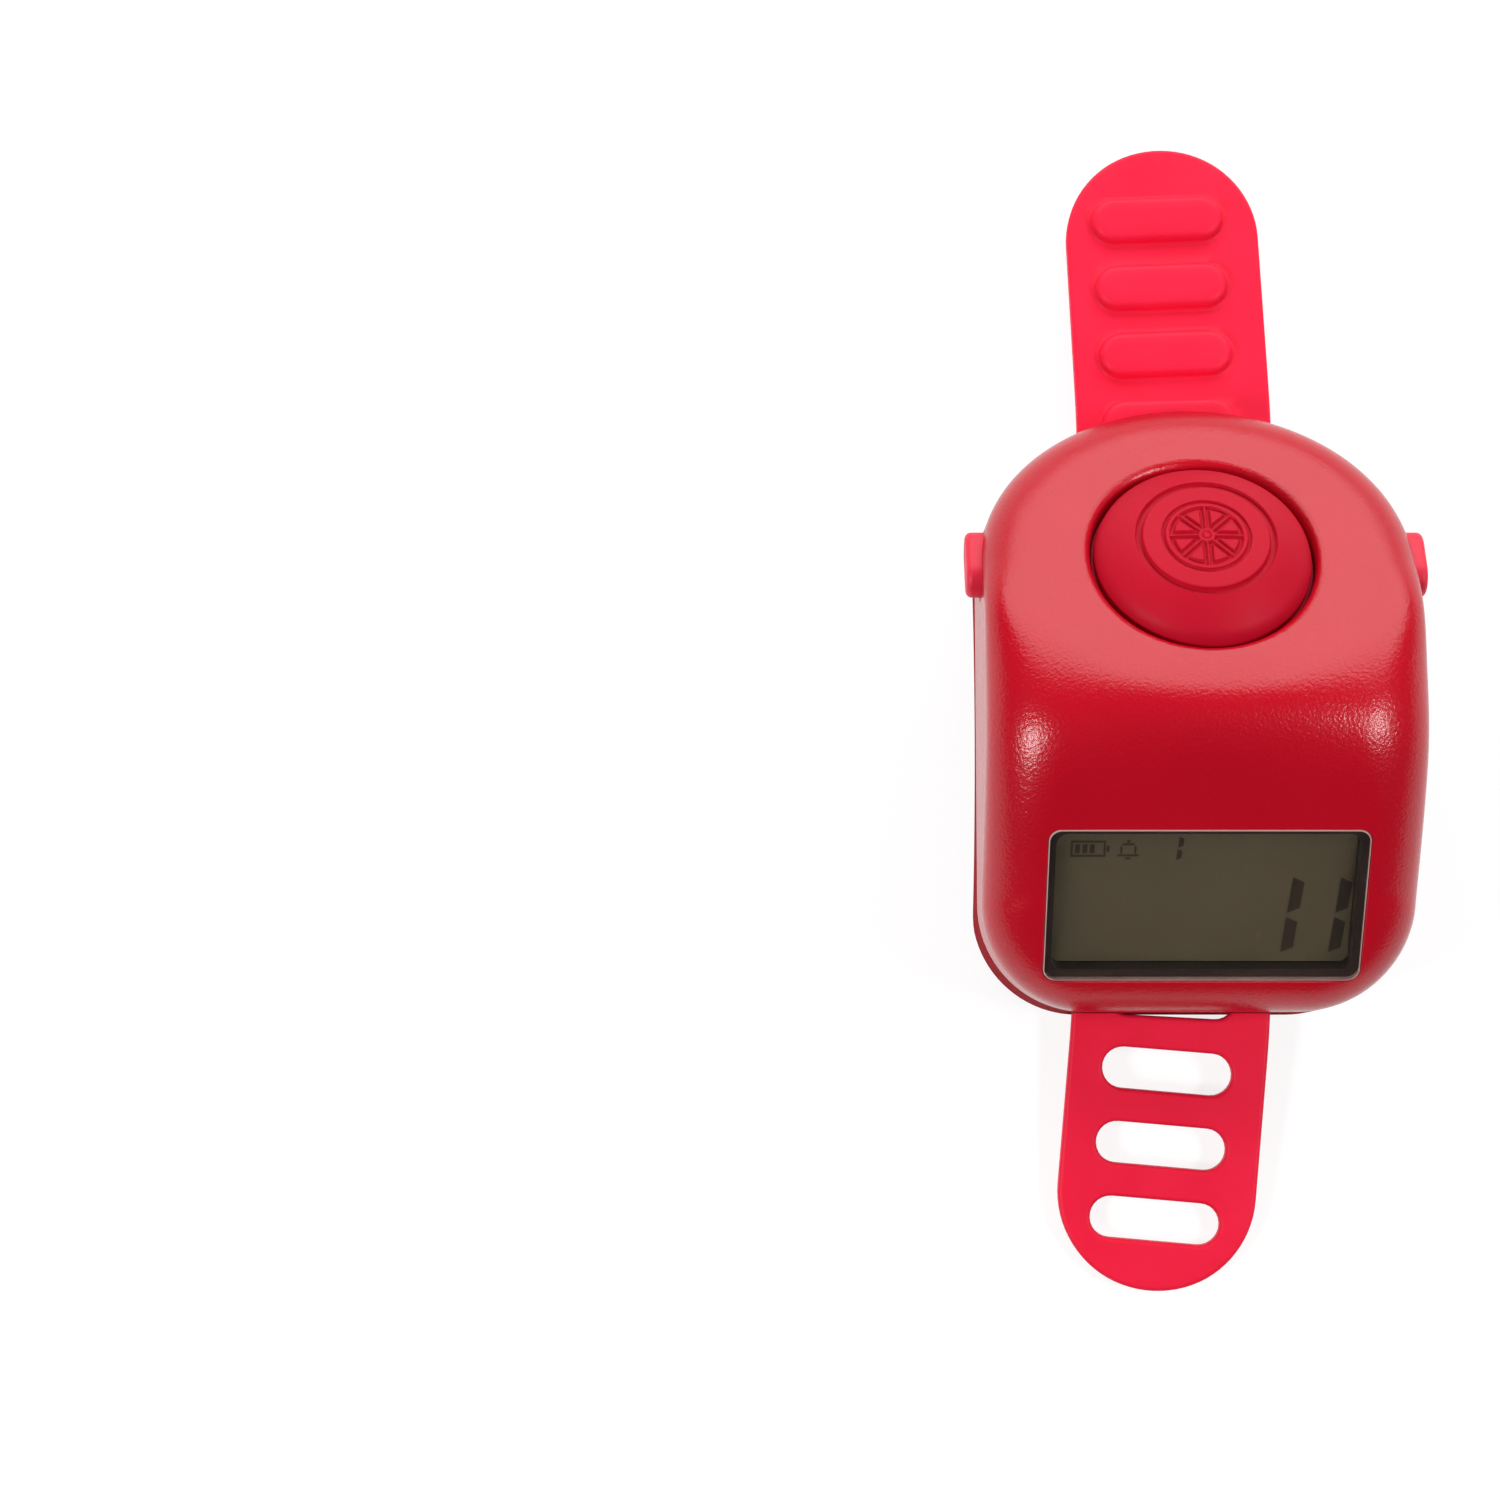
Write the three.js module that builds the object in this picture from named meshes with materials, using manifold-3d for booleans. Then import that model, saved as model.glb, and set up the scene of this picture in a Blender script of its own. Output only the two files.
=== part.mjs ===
// Finger tally counter: a moulded wedge body on a soft strap that lies open.
// Millimetres, +Z up. The display faces -Y, the count button faces the rear (+Y).
// The origin is at the middle of the footprint, on the surface that the counter lies on.

import * as THREE from "three";
import { mergeVertices } from "three/addons/utils/BufferGeometryUtils.js";
import Module from "manifold-3d";

// Body outline in plan: half an ellipse at the rear, straight sides, rounded front corners
const bodyWidth = 31.2;
const bodyLength = 44.4;
const rearArchDepth = 12.4;
const frontCornerRadius = 7.8;
const bodyLead = 0.82; // the body sits this far forward of the strap's middle

// Top and front faces
const partingHeight = 6.4;
const topTilt = THREE.MathUtils.degToRad(27.9);
const topHeight = 17; // at the middle of the count button
const frontTilt = THREE.MathUtils.degToRad(32.8);
const frontHeight = 15.39; // at the middle of the window
const ridgeSoftness = 1.4;
const browRadius = 16.7; // the top face ends along this arc at the front and rolls off past it
const browBehind = 6.6; // from the count button's middle back to the arc's centre
const browReach = 4; // the roll-off bends over this length, then runs on at a steady slope
const browSlope = 0.5;
const topEdgeRadius = 4.5;
const edgeTightening = 2.2; // taken off the edge's radius beside the side buttons
const tightestY = 6.5;
const tighteningReach = 4.5;
const shoulderRun = 2; // added to the edge's width where the ridge meets it
const shoulderY = -2.5;
const shoulderReach = 5;
const shellWall = 1.5;
const partingGap = 0.12;

// Count button
const buttonSetIn = 1.1; // its middle lies this far in from the rear quarter of the length
const buttonHoleRadius = 8.02;
const buttonClearance = 0.26;
const buttonRimProud = 0.02; // above the top face
const buttonDomeRise = 2.9;
const buttonTravel = 0.6;
const buttonFlangeWidth = 0.9;
const buttonFlangeThickness = 0.9;
const buttonCrown = 1.3;
const buttonPostRadius = 1.6;
const buttonRimRound = 0.45; // the dome rolls over this far in from its rim
const medallionRise = 0.25; // of the flatter middle inside the ring groove
const ringGrooveRadius = 4.75;
const ringGrooveWidth = 0.65;
const ringGrooveDepth = 0.4;
const ringGrooveLip = 0.12;
const flangeClearance = 0.15; // under the shell's roof

// Side buttons
const sideButtonLength = 5.2;
const sideButtonHeight = 3;
const sideButtonProud = 1.05;
const sideButtonTravel = 0.4;
const sideButtonClearance = 0.2;
const sideButtonDepth = 5; // below the top face at the middle of the count button
const sideFlangeDepth = 2.5; // from the side wall's outer face to the flange
const sideFlangeThickness = 0.8;
const sideFlangeOverhang = 0.9;
const sideNubRadius = 0.8;
const sideTabHalf = 1.5;
const sideCrownStep = 0.35; // the pad's outer edge steps in before its outer face

// Display window and what lies behind it, measured square to the front face
const windowSetOut = 4; // its middle lies this far out from the front quarter of the length
const windowWidth = 22.75;
const windowHeight = 12.26;
const windowCorner = 0.9;
const windowClearance = 0.12;
const windowThickness = 1;
const windowRecess = 0.06;
const windowBevel = 0.15;
const ledgeWidth = 0.5;
const ledgeThickness = 0.9;
const frameMargin = 1;
const stackGap = 0.12;
const gasketThickness = 0.4;
const glassThickness = 1.6;
const bezelWall = 0.5;
const bezelInset = 0.15; // from the ledge's opening out to the glass's edge
const backlightThickness = 1.5;
const rubberStripWidth = 1.2;
const boardThickness = 1;
const blobX = -5;
const blobRise = 2.2;
const blobRadius = 2.7;
const blobHeight = 1.1;
const crystalRise = 4.6;
const crystalInset = 1.7; // from the board's right edge
const crystalLength = 5.2;
const crystalRadius = 0.9;
const ledWidth = 1.6;
const ledHeight = 0.8;
const mainBoardInset = 0.725; // from the glass's ends
const mainScrewInset = 2; // from the board's ends

// Switch board, square to the count button's axis
const switchBoardRoom = 0.4; // over the post of the door's screw
const switchBoardWidth = 22.8;
const switchBoardFront = 8.7;
const switchBoardRear = 5.4;
const switchScrewX = 8.8;
const switchScrewY = 7.1;
const switchSize = 6;
const switchHeight = 3.3;
const plungerRadius = 1.6;
const plungerProud = buttonTravel + 0.1;
const sideSwitchDepth = 3.4;
const sideSwitchRoom = 0.79; // under the pressed count button's flange
const sidePlungerShare = 0.58; // of its switch's height
const sideSwitchSpan = 5;
const sidePlungerRadius = 1;
const plungerSunk = 0.9; // of each plunger into its switch
const switchBoreDepth = 1.9;
const contactGap = 0.12;

// Bottom cover: two feet with a finger saddle between them, and a slot for the strap
const saddleRise = 4.8;
const footLength = 5.3;
const saddleFloor = 1.5;
const coverWall = 1.5;
const strapBarThickness = 1.7;
const strapRoofThickness = 1.6;
const strapClearance = 0.25;
const strapSideClearance = 1.1;
const footEdge = 0.8;

// Battery and its door
const cellRadius = 5.8;
const cellThickness = 2.1;
const cellY = -3;
const cellHeight = 6.75;
const cellClearance = 0.35;
const doorWidth = 14.2;
const doorFront = -9.7;
const doorRear = 7.6;
const doorThickness = 0.75;
const doorClearance = 0.15;
const doorScrewY = 5.2;
const doorPostRoof = 0.4; // of the screw's post, over its hole
const contactThickness = 0.3;
const contactWidth = 4;
const contactLength = 10;
const cellStep = 0.35; // height of the step round the cell's lower face
const cellStepWidth = 0.9;

// Screws
const screwRadius = 0.8;
const screwHeadRadius = 1.4;
const screwHeadThickness = 0.8;
const screwClearance = 0.12;
const smallScrewLength = 3.2;
const doorScrewLength = 2.2;
const crossSlotHalf = 0.16;
const pilotRoom = 0.5; // beyond each screw's end
const postRadius = 1.7;
const frontPost = { x: 12.1, y: -4 };
const rearPostX = 9.9;
const rearPostBehind = 4.4; // behind the count button's middle
const caseScrewLength = 6;
const frontHeadDepth = 1;
const rearHeadDepth = 2.6;

// Strap
const strapWidth = 14.7;
const strapThickness = 1.3;
const strapReach = 87;
const strapShift = -0.5; // the strap lies a little to the left in its slots
const strapTurn = THREE.MathUtils.degToRad(1.1);
const frontLean = THREE.MathUtils.degToRad(5);
const rearLean = THREE.MathUtils.degToRad(2.2);
const strapHoleLength = 9.65;
const strapHoleWidth = 3.1;
const holePitch = 5.55;
const holeEndMargin = 5.25; // from the tip to the middle of the first hole
const ribEndMargin = 5.85;
const ribShift = -0.4; // the ribs sit a little left of the tail's middle
const strapHoleCount = 4;
const strapOverlap = 0.6; // of each tail into the middle length
const ribLength = 10;
const ribWidth = 3.45;
const ribPitch = 5.38;
const ribHeight = 0.95;
const ribSlope = 0.35;

// Cable runs inside
const ribbonWidth = 6;
const ribbonThickness = 0.25;
const ribbonGap = 0.4; // under the boards where it ends
const ribbonSag = 0.7; // under the boards where it turns
const ribbonTurn = 0.7; // from a board's edge in to the turn
const ribbonLap = 1.9; // from the turn to the end

// Mesh fineness
const roundSides = 32;
const smallSides = 12;
const postSides = 16;
const boreSides = 20;
const cutReach = 5; // of a cutter beyond the piece that it cuts
const acrossSteps = 8; // from side to side over the body's top

// Values that follow from the ones above
const halfWidth = bodyWidth / 2;
const frontY = -bodyLength / 2;
const rearY = bodyLength / 2;
const archY = rearY - rearArchDepth;
const buttonY = rearY / 2 - buttonSetIn;
const windowY = frontY / 2 - windowSetOut;
const browY = buttonY + browBehind;
const rearPost = { x: rearPostX, y: buttonY + rearPostBehind };
const saddleSpan = bodyLength / 2 - footLength;
const saddleRadius = (saddleSpan ** 2 + saddleRise ** 2) / (2 * saddleRise);
const saddleCentre = saddleRise - saddleRadius;
const strapBottom = strapBarThickness + strapClearance / 2;
const strapRoof = strapBottom + strapThickness + strapClearance / 2 + strapRoofThickness;
const flangeTop = -(shellWall + flangeClearance);
const ledgeTop = -(windowThickness + windowRecess + windowClearance);
const ledgeBottom = ledgeTop - ledgeThickness;
const openingWidth = windowWidth - 2 * ledgeWidth;
const openingHeight = windowHeight - 2 * ledgeWidth;
const glassWidth = openingWidth + 2 * bezelInset;
const glassHeight = openingHeight + 2 * bezelInset;
const gasketTop = ledgeBottom - stackGap;
const glassTop = gasketTop - gasketThickness - stackGap;
const backlightTop = glassTop - glassThickness - stackGap;
const mainBoardTop = backlightTop - backlightThickness - 2 * stackGap;
const bezelWidth = glassWidth + 2 * (bezelWall + stackGap);
const bezelHeight = glassHeight + 2 * (bezelWall + stackGap);
const mainBoardWidth = glassWidth - 2 * mainBoardInset;
const mainBoardFall = bezelHeight / 2;
const mainScrewX = mainBoardWidth / 2 - mainScrewInset;
const mainScrewRise = bezelHeight / 2 + postRadius;
const mainBoardRise = mainScrewRise + postRadius;
const switchBoardDepth = hangDepth();
const sideSwitchFoot = -switchBoardDepth + contactGap / 2;
const flangeLowest = flangeTop - buttonFlangeThickness - buttonTravel;
const sideSwitchHeight = flangeLowest - sideSwitchRoom - sideSwitchFoot;
const postHole = screwRadius + screwClearance;

const wasm = await Module();
wasm.setup();

const body = new THREE.Group();
const frontFrame = new THREE.Group();
const topFrame = new THREE.Group();
const counter = new THREE.Group();
body.position.y = -bodyLead;
frontFrame.position.set(0, windowY, frontHeight);
frontFrame.rotation.x = frontTilt;
topFrame.position.set(0, buttonY, topHeight);
topFrame.rotation.x = -topTilt;
body.add(frontFrame, topFrame);
counter.add(body);
frontFrame.updateMatrix();
topFrame.updateMatrix();

// Closed triangle mesh to a solid that can be joined and cut
function toSolid(source, matrix) {
  let geometry = source.clone();
  if (matrix) geometry.applyMatrix4(matrix);
  geometry.deleteAttribute("normal");
  geometry.deleteAttribute("uv");
  geometry = mergeVertices(geometry, 1e-5);
  const vertProperties = new Float32Array(geometry.attributes.position.array);
  const triVerts = new Uint32Array(geometry.index.array);
  return new wasm.Manifold(new wasm.Mesh({ numProp: 3, vertProperties, triVerts }));
}

function toGeometry(solid) {
  const mesh = solid.getMesh();
  const geometry = new THREE.BufferGeometry();
  geometry.setAttribute("position", new THREE.BufferAttribute(mesh.vertProperties, 3));
  geometry.setIndex(new THREE.BufferAttribute(mesh.triVerts, 1));
  return geometry;
}

function addPiece(parent, name, shape, color, roughness, metalness = 0) {
  const geometry = shape.isBufferGeometry ? shape : toGeometry(shape);
  geometry.computeVertexNormals();
  const material = new THREE.MeshStandardMaterial({ color, roughness, metalness });
  const mesh = new THREE.Mesh(geometry, material);
  mesh.name = name;
  parent.add(mesh);
}

// Box between two corners
function block(x0, x1, y0, y1, z0, z1) {
  const geometry = new THREE.BoxGeometry(x1 - x0, y1 - y0, z1 - z0);
  return geometry.translate((x0 + x1) / 2, (y0 + y1) / 2, (z0 + z1) / 2);
}

// Upright cylinder between two heights
function rod(x, y, radius, z0, z1, sides = smallSides) {
  const geometry = new THREE.CylinderGeometry(radius, radius, z1 - z0, sides);
  geometry.rotateX(Math.PI / 2);
  return geometry.translate(x, y, (z0 + z1) / 2);
}

// Cylinder along X between two places
function crossRod(x0, x1, y, z, radius, sides = smallSides) {
  const geometry = new THREE.CylinderGeometry(radius, radius, Math.abs(x1 - x0), sides);
  geometry.rotateZ(Math.PI / 2);
  return geometry.translate((x0 + x1) / 2, y, z);
}

// Flat shape with rounded corners, centred on its origin
function roundedShape(width, height, radius) {
  const x = width / 2;
  const y = height / 2;
  const shape = new THREE.Shape();
  shape.moveTo(x, y - radius);
  shape.absarc(x - radius, y - radius, radius, 0, Math.PI / 2);
  shape.absarc(-x + radius, y - radius, radius, Math.PI / 2, Math.PI);
  shape.absarc(-x + radius, -y + radius, radius, Math.PI, 1.5 * Math.PI);
  shape.absarc(x - radius, -y + radius, radius, 1.5 * Math.PI, 2 * Math.PI);
  return shape;
}

// Plate of a flat shape between two heights
function plate(shape, z0, z1, steps = 4) {
  const options = { depth: z1 - z0, bevelEnabled: false, curveSegments: steps };
  return new THREE.ExtrudeGeometry(shape, options).translate(0, 0, z0);
}

function roundedPlate(width, height, radius, z0, z1) {
  return plate(roundedShape(width, height, radius), z0, z1);
}

// Round capsule outline: straight along X with half-round ends
function capsuleShape(length, width) {
  const radius = width / 2;
  const straight = length / 2 - radius;
  const shape = new THREE.Shape();
  shape.moveTo(straight, -radius);
  shape.absarc(straight, 0, radius, -Math.PI / 2, Math.PI / 2);
  shape.absarc(-straight, 0, radius, Math.PI / 2, 1.5 * Math.PI);
  return shape;
}

// Height of the outer surface over the plan, with the ridge between the two faces rounded
function surfaceHeight(x, y) {
  const beyond = Math.max(0, Math.hypot(x, y - browY) - browRadius);
  const rolloff = browSlope * browReach * (Math.hypot(1, beyond / browReach) - 1);
  const top = topHeight + Math.tan(topTilt) * (buttonY - y) - rolloff;
  const front = frontHeight + Math.tan(frontTilt) * (y - windowY);
  const lower = Math.min(top, front);
  const spread = Math.abs(top - front);
  return lower - ridgeSoftness * Math.log(1 + Math.exp(-spread / ridgeSoftness));
}

// Height of the rounded edge between the walls and the top, which tightens beside the side buttons
function edgeHeight(y) {
  const away = (y - tightestY) / tighteningReach;
  return topEdgeRadius - edgeTightening * Math.exp(-(away ** 2));
}

// Width of the rounded edge seen from above, which grows at the ends of the ridge
function edgeWidth(y) {
  const away = (y - shoulderY) / shoulderReach;
  return edgeHeight(y) + shoulderRun * Math.exp(-(away ** 2));
}

// Half of the plan outline, from the middle of the rear round to the middle of the front.
// Each point carries the outward direction, so the outline can be drawn in at any inset.
function halfOutline(inset) {
  const points = [];
  const archSteps = 12;
  for (let i = 0; i <= archSteps; i++) {
    const angle = (Math.PI / 2) * (1 - i / archSteps);
    const normal = new THREE.Vector2(Math.cos(angle) / halfWidth, Math.sin(angle) / rearArchDepth);
    normal.normalize();
    points.push({
      x: halfWidth * Math.cos(angle) - inset * normal.x,
      y: archY + rearArchDepth * Math.sin(angle) - inset * normal.y,
      nx: normal.x,
      ny: normal.y,
    });
  }
  const cornerY = frontY + frontCornerRadius;
  const sideSteps = 12;
  for (let i = 1; i < sideSteps; i++) {
    const y = archY + ((cornerY - archY) * i) / sideSteps;
    points.push({ x: halfWidth - inset, y, nx: 1, ny: 0 });
  }
  const cornerSteps = 8;
  for (let i = 0; i <= cornerSteps; i++) {
    const angle = (-Math.PI / 2) * (i / cornerSteps);
    const nx = Math.cos(angle);
    const ny = Math.sin(angle);
    const radius = frontCornerRadius - inset;
    points.push({
      x: halfWidth - frontCornerRadius + radius * nx,
      y: cornerY + radius * ny,
      nx,
      ny,
    });
  }
  points.push({ x: 0, y: frontY + inset, nx: 0, ny: -1 });
  return points;
}

// One ring of the body's surface: the whole outline, clockwise seen from above
function fullOutline(inset) {
  const right = halfOutline(inset);
  const left = right.slice(1, -1).reverse();
  return right.concat(left.map((p) => ({ x: -p.x, y: p.y, nx: -p.nx, ny: p.ny })));
}

// Rings of points from the wall's foot, up the wall and over the rounded edge
function surfaceRings(inset, drop, bottom) {
  const arcSteps = 5;
  const outline = fullOutline(inset);
  const rings = [outline.map((p) => new THREE.Vector3(p.x, p.y, bottom))];
  for (let i = 0; i <= arcSteps; i++) {
    rings.push(
      outline.map((p) => {
        const width = edgeWidth(p.y) - inset;
        const height = edgeHeight(p.y) - inset;
        const rise = surfaceHeight(p.x - p.nx * width, p.y - p.ny * width) - surfaceHeight(p.x, p.y);
        const sweep = Math.atan2(height, rise);
        const run = width * (1 - Math.cos(sweep));
        const rim = surfaceHeight(p.x - p.nx * run, p.y - p.ny * run);
        const centre = rim - drop - height * Math.sin(sweep);
        const angle = (sweep * i) / arcSteps;
        const inward = width * (1 - Math.cos(angle));
        const z = centre + height * Math.sin(angle);
        return new THREE.Vector3(p.x - p.nx * inward, p.y - p.ny * inward, z);
      }),
    );
  }
  return rings;
}

// Closed solid under the body's surface: a flat foot, the rings, and rows of points across the top
function bodySolid(inset, drop, bottom) {
  const rings = surfaceRings(inset, drop, bottom);
  const count = rings[0].length;
  const points = rings.flat();
  const index = [];
  const quad = (a, b, c, d) => index.push(a, b, d, b, c, d);
  for (let r = 0; r + 1 < rings.length; r++) {
    for (let i = 0; i < count; i++) {
      const next = (i + 1) % count;
      quad(r * count + next, r * count + i, (r + 1) * count + i, (r + 1) * count + next);
    }
  }
  for (let i = 1; i + 1 < count; i++) index.push(0, i, i + 1);
  const top = (rings.length - 1) * count;
  const front = count / 2;
  let previous = Array(acrossSteps + 1).fill(top);
  for (let i = 1; i < front - 1; i++) {
    const row = [top + i];
    for (let j = 1; j < acrossSteps; j++) {
      const p = points[top + i].clone().lerp(points[top + count - i], j / acrossSteps);
      p.z = surfaceHeight(p.x, p.y) - drop;
      row.push(points.push(p) - 1);
    }
    row.push(top + count - i);
    for (let j = 0; j < acrossSteps; j++) {
      if (i === 1) index.push(top, row[j + 1], row[j]);
      else quad(previous[j], previous[j + 1], row[j + 1], row[j]);
    }
    previous = row;
  }
  for (let j = 0; j < acrossSteps; j++) {
    index.push(previous[j], previous[j + 1], j < acrossSteps / 2 ? top + front - 1 : top + front + 1);
  }
  const middle = previous[acrossSteps / 2];
  index.push(middle, top + front, top + front - 1, middle, top + front + 1, top + front);
  const geometry = new THREE.BufferGeometry().setFromPoints(points);
  geometry.setIndex(index);
  return toSolid(geometry);
}

// Upright slab with the plan outline drawn in by an inset
function outlineSlab(inset, z0, z1) {
  const shape = new THREE.Shape(fullOutline(inset).map((p) => new THREE.Vector2(p.x, p.y)));
  return toSolid(plate(shape, z0, z1));
}

// Slab across X whose lower surface is the saddle's arch at a given radius
function saddleRod(radius, halfSpan) {
  return toSolid(crossRod(-halfSpan, halfSpan, 0, saddleCentre, radius, 6 * roundSides));
}

// Depth of the switch board below the top face, where its underside clears the door screw's post
function hangDepth() {
  const postTop = doorScrewTop() + doorPostRoof + switchBoardRoom;
  const faceOver = topHeight + Math.tan(topTilt) * (buttonY - doorScrewY - postRadius);
  return Math.cos(topTilt) * (faceOver - postTop) - boardThickness;
}

// Middle of a side button, in the count button's tilted frame
const sideButtonAt = {
  y: sideButtonDepth * Math.sin(topTilt),
  z: -sideButtonDepth * Math.cos(topTilt),
};
const nubZ = sideSwitchFoot + sidePlungerShare * sideSwitchHeight;

// Capsule across X, long down the top face, for a side button or its hole
function sideCapsule(grow, x0, x1) {
  const shape = capsuleShape(sideButtonLength + 2 * grow, sideButtonHeight + 2 * grow);
  const geometry = plate(shape, 0, x1 - x0, 6);
  geometry.rotateZ(Math.PI / 2);
  geometry.rotateY(Math.PI / 2);
  return geometry.translate(x0, sideButtonAt.y, sideButtonAt.z);
}

function upperShell() {
  const innerDrop = shellWall / Math.cos(frontTilt);
  let shell = bodySolid(0, 0, partingHeight);
  shell = shell.subtract(bodySolid(shellWall, innerDrop, partingHeight - 1));
  const frameWidth = windowWidth + 2 * frameMargin;
  const frameHeight = windowHeight + 2 * frameMargin;
  const windowFrame = roundedPlate(frameWidth, frameHeight, windowCorner, ledgeBottom, -shellWall / 2);
  shell = shell.add(toSolid(windowFrame, frontFrame.matrix).intersect(bodySolid(0.5, 0.5, 0)));
  shell = shell.add(shellPosts());
  const pocket = roundedPlate(windowWidth, windowHeight, windowCorner, ledgeTop, cutReach);
  const opening = roundedPlate(openingWidth, openingHeight, windowCorner, ledgeBottom - 1, 1);
  shell = shell.subtract(toSolid(pocket, frontFrame.matrix));
  shell = shell.subtract(toSolid(opening, frontFrame.matrix));
  const hole = rod(0, 0, buttonHoleRadius, -4, 4, 2 * roundSides);
  shell = shell.subtract(toSolid(hole, topFrame.matrix));
  const reach = halfWidth + 1;
  for (const side of [-1, 1]) {
    const [x0, x1] = side < 0 ? [-reach, -halfWidth + 3] : [halfWidth - 3, reach];
    shell = shell.subtract(toSolid(sideCapsule(sideButtonClearance, x0, x1), topFrame.matrix));
  }
  return shell.subtract(shellPilotHoles());
}

// Posts that hang from the shell: four to the bottom cover, two to each board
function shellPosts() {
  const inside = bodySolid(shellWall / 2, shellWall / 2, 0);
  let posts = null;
  const add = (geometry, matrix) => {
    const solid = toSolid(geometry, matrix);
    posts = posts ? posts.add(solid) : solid;
  };
  for (const side of [-1, 1]) {
    add(rod(side * frontPost.x, frontPost.y, postRadius, partingHeight + 0.3, 30, postSides));
    add(rod(side * rearPost.x, rearPost.y, postRadius, strapRoof + 0.3, 30, postSides));
    const mainEnd = mainBoardTop + contactGap;
    const switchEnd = -switchBoardDepth + contactGap;
    add(rod(side * mainScrewX, mainScrewRise, postRadius, mainEnd, 0, postSides), frontFrame.matrix);
    add(rod(side * switchScrewX, -switchScrewY, postRadius, switchEnd, 0, postSides), topFrame.matrix);
  }
  return posts.intersect(inside);
}

// Blind holes for the screws' shanks
function shellPilotHoles() {
  let holes = null;
  const add = (geometry, matrix) => {
    const solid = toSolid(geometry, matrix);
    holes = holes ? holes.add(solid) : solid;
  };
  const caseDepth = caseScrewLength + pilotRoom;
  for (const side of [-1, 1]) {
    const frontTop = frontHeadLevel() + caseDepth;
    const rearTop = rearHeadDepth + caseDepth;
    add(rod(side * frontPost.x, frontPost.y, postHole, partingHeight - 1, frontTop));
    add(rod(side * rearPost.x, rearPost.y, postHole, 0, rearTop));
    const mainTop = mainBoardTop - boardThickness + smallScrewLength + pilotRoom;
    add(rod(side * mainScrewX, mainScrewRise, postHole, mainBoardTop - 1, mainTop), frontFrame.matrix);
    const switchTop = -switchBoardDepth - boardThickness + smallScrewLength + pilotRoom;
    const level = -switchBoardDepth - 1;
    add(rod(side * switchScrewX, -switchScrewY, postHole, level, switchTop), topFrame.matrix);
  }
  return holes;
}

// Height where a front case screw's head seats, inside the saddle's roof
function frontHeadLevel() {
  return saddleCentre + Math.sqrt(saddleRadius ** 2 - frontPost.y ** 2) + frontHeadDepth - 0.3;
}

function bottomCover() {
  const top = partingHeight - partingGap;
  const span = halfWidth + 1;
  let cover = outlineSlab(0, footEdge, top);
  cover = cover.add(outlineSlab(footEdge / 2, footEdge / 3, footEdge));
  cover = cover.add(outlineSlab(footEdge, 0, footEdge / 3));
  const cavity = outlineSlab(coverWall, strapRoof, top + 1);
  cover = cover.subtract(cavity.subtract(saddleRod(saddleRadius + saddleFloor, span)));
  cover = cover.subtract(saddleRod(saddleRadius, span));
  const slotHalf = strapWidth / 2 + strapSideClearance;
  const slotTop = strapRoof - strapRoofThickness;
  cover = cover.subtract(toSolid(block(-slotHalf, slotHalf, -30, 30, strapBarThickness, slotTop)));
  cover = cover.subtract(toSolid(ribMouth()));
  cover = cover.subtract(doorPocket());
  cover = cover.add(doorScrewPost());
  return cover.subtract(coverHoles());
}

// Relief over the strap at the rear, where its innermost rib lies in the mouth of the slot
function ribMouth() {
  const x = ribLength / 2 - ribShift + 2 * strapClearance;
  const top = strapBottom + strapThickness + ribHeight + strapClearance;
  return block(-x, x, rearY - ribWidth, rearY + 1, strapBottom, top);
}

// Arched band under the saddle's roof, between two plan edges
function saddleBand(x, y0, y1, innerRadius, outerRadius) {
  const span = halfWidth + 1;
  const band = saddleRod(outerRadius, span).subtract(saddleRod(innerRadius, span + 1));
  return band.intersect(toSolid(block(-x, x, y0, y1, 0, 12)));
}

// Recess for the door, and the round opening that lets the cell through
function doorPocket() {
  const x = doorWidth / 2;
  const recess = saddleBand(x, doorFront, doorRear, saddleRadius - 2, saddleRadius + doorThickness);
  const opening = toSolid(rod(0, cellY, cellRadius + cellClearance, 0, 12, roundSides));
  return recess.add(opening);
}

// Post above the floor that takes the door's screw
function doorScrewPost() {
  const top = doorScrewTop() + doorPostRoof;
  const post = toSolid(rod(0, doorScrewY, postRadius, saddleRise, top, postSides));
  return post.subtract(saddleRod(saddleRadius + doorThickness, halfWidth));
}

function doorScrewTop() {
  return doorScrewLevel() + doorScrewLength + 0.2;
}

// Height where the door screw's head seats
function doorScrewLevel() {
  return saddleCentre + Math.sqrt(saddleRadius ** 2 - doorScrewY ** 2) + 0.2;
}

function coverHoles() {
  let holes = toSolid(rod(0, doorScrewY, postHole, 0, doorScrewTop() + 0.1));
  const headHole = screwHeadRadius + screwClearance;
  for (const side of [-1, 1]) {
    const front = [side * frontPost.x, frontPost.y];
    const rear = [side * rearPost.x, rearPost.y];
    holes = holes.add(toSolid(rod(...front, postHole, 0, 12)));
    holes = holes.add(toSolid(rod(...front, headHole, 0, frontHeadLevel(), postSides)));
    holes = holes.add(toSolid(rod(...rear, postHole, -1, 12)));
    holes = holes.add(toSolid(rod(...rear, headHole, -1, rearHeadDepth, postSides)));
  }
  return holes;
}

// Pan-head screw along Z, its head's top face down at the given level, with a cross slot
function screw(x, y, level, length) {
  const seat = level - contactGap / 2;
  let solid = toSolid(rod(x, y, screwHeadRadius, seat - screwHeadThickness, seat, postSides));
  solid = solid.add(toSolid(rod(x, y, screwRadius, seat - 0.2, seat + length)));
  const arm = screwHeadRadius * 0.65;
  const half = crossSlotHalf;
  const low = seat - screwHeadThickness - 0.1;
  const high = seat - screwHeadThickness * 0.5;
  solid = solid.subtract(toSolid(block(x - arm, x + arm, y - half, y + half, low, high)));
  return solid.subtract(toSolid(block(x - half, x + half, y - arm, y + arm, low, high)));
}

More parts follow.
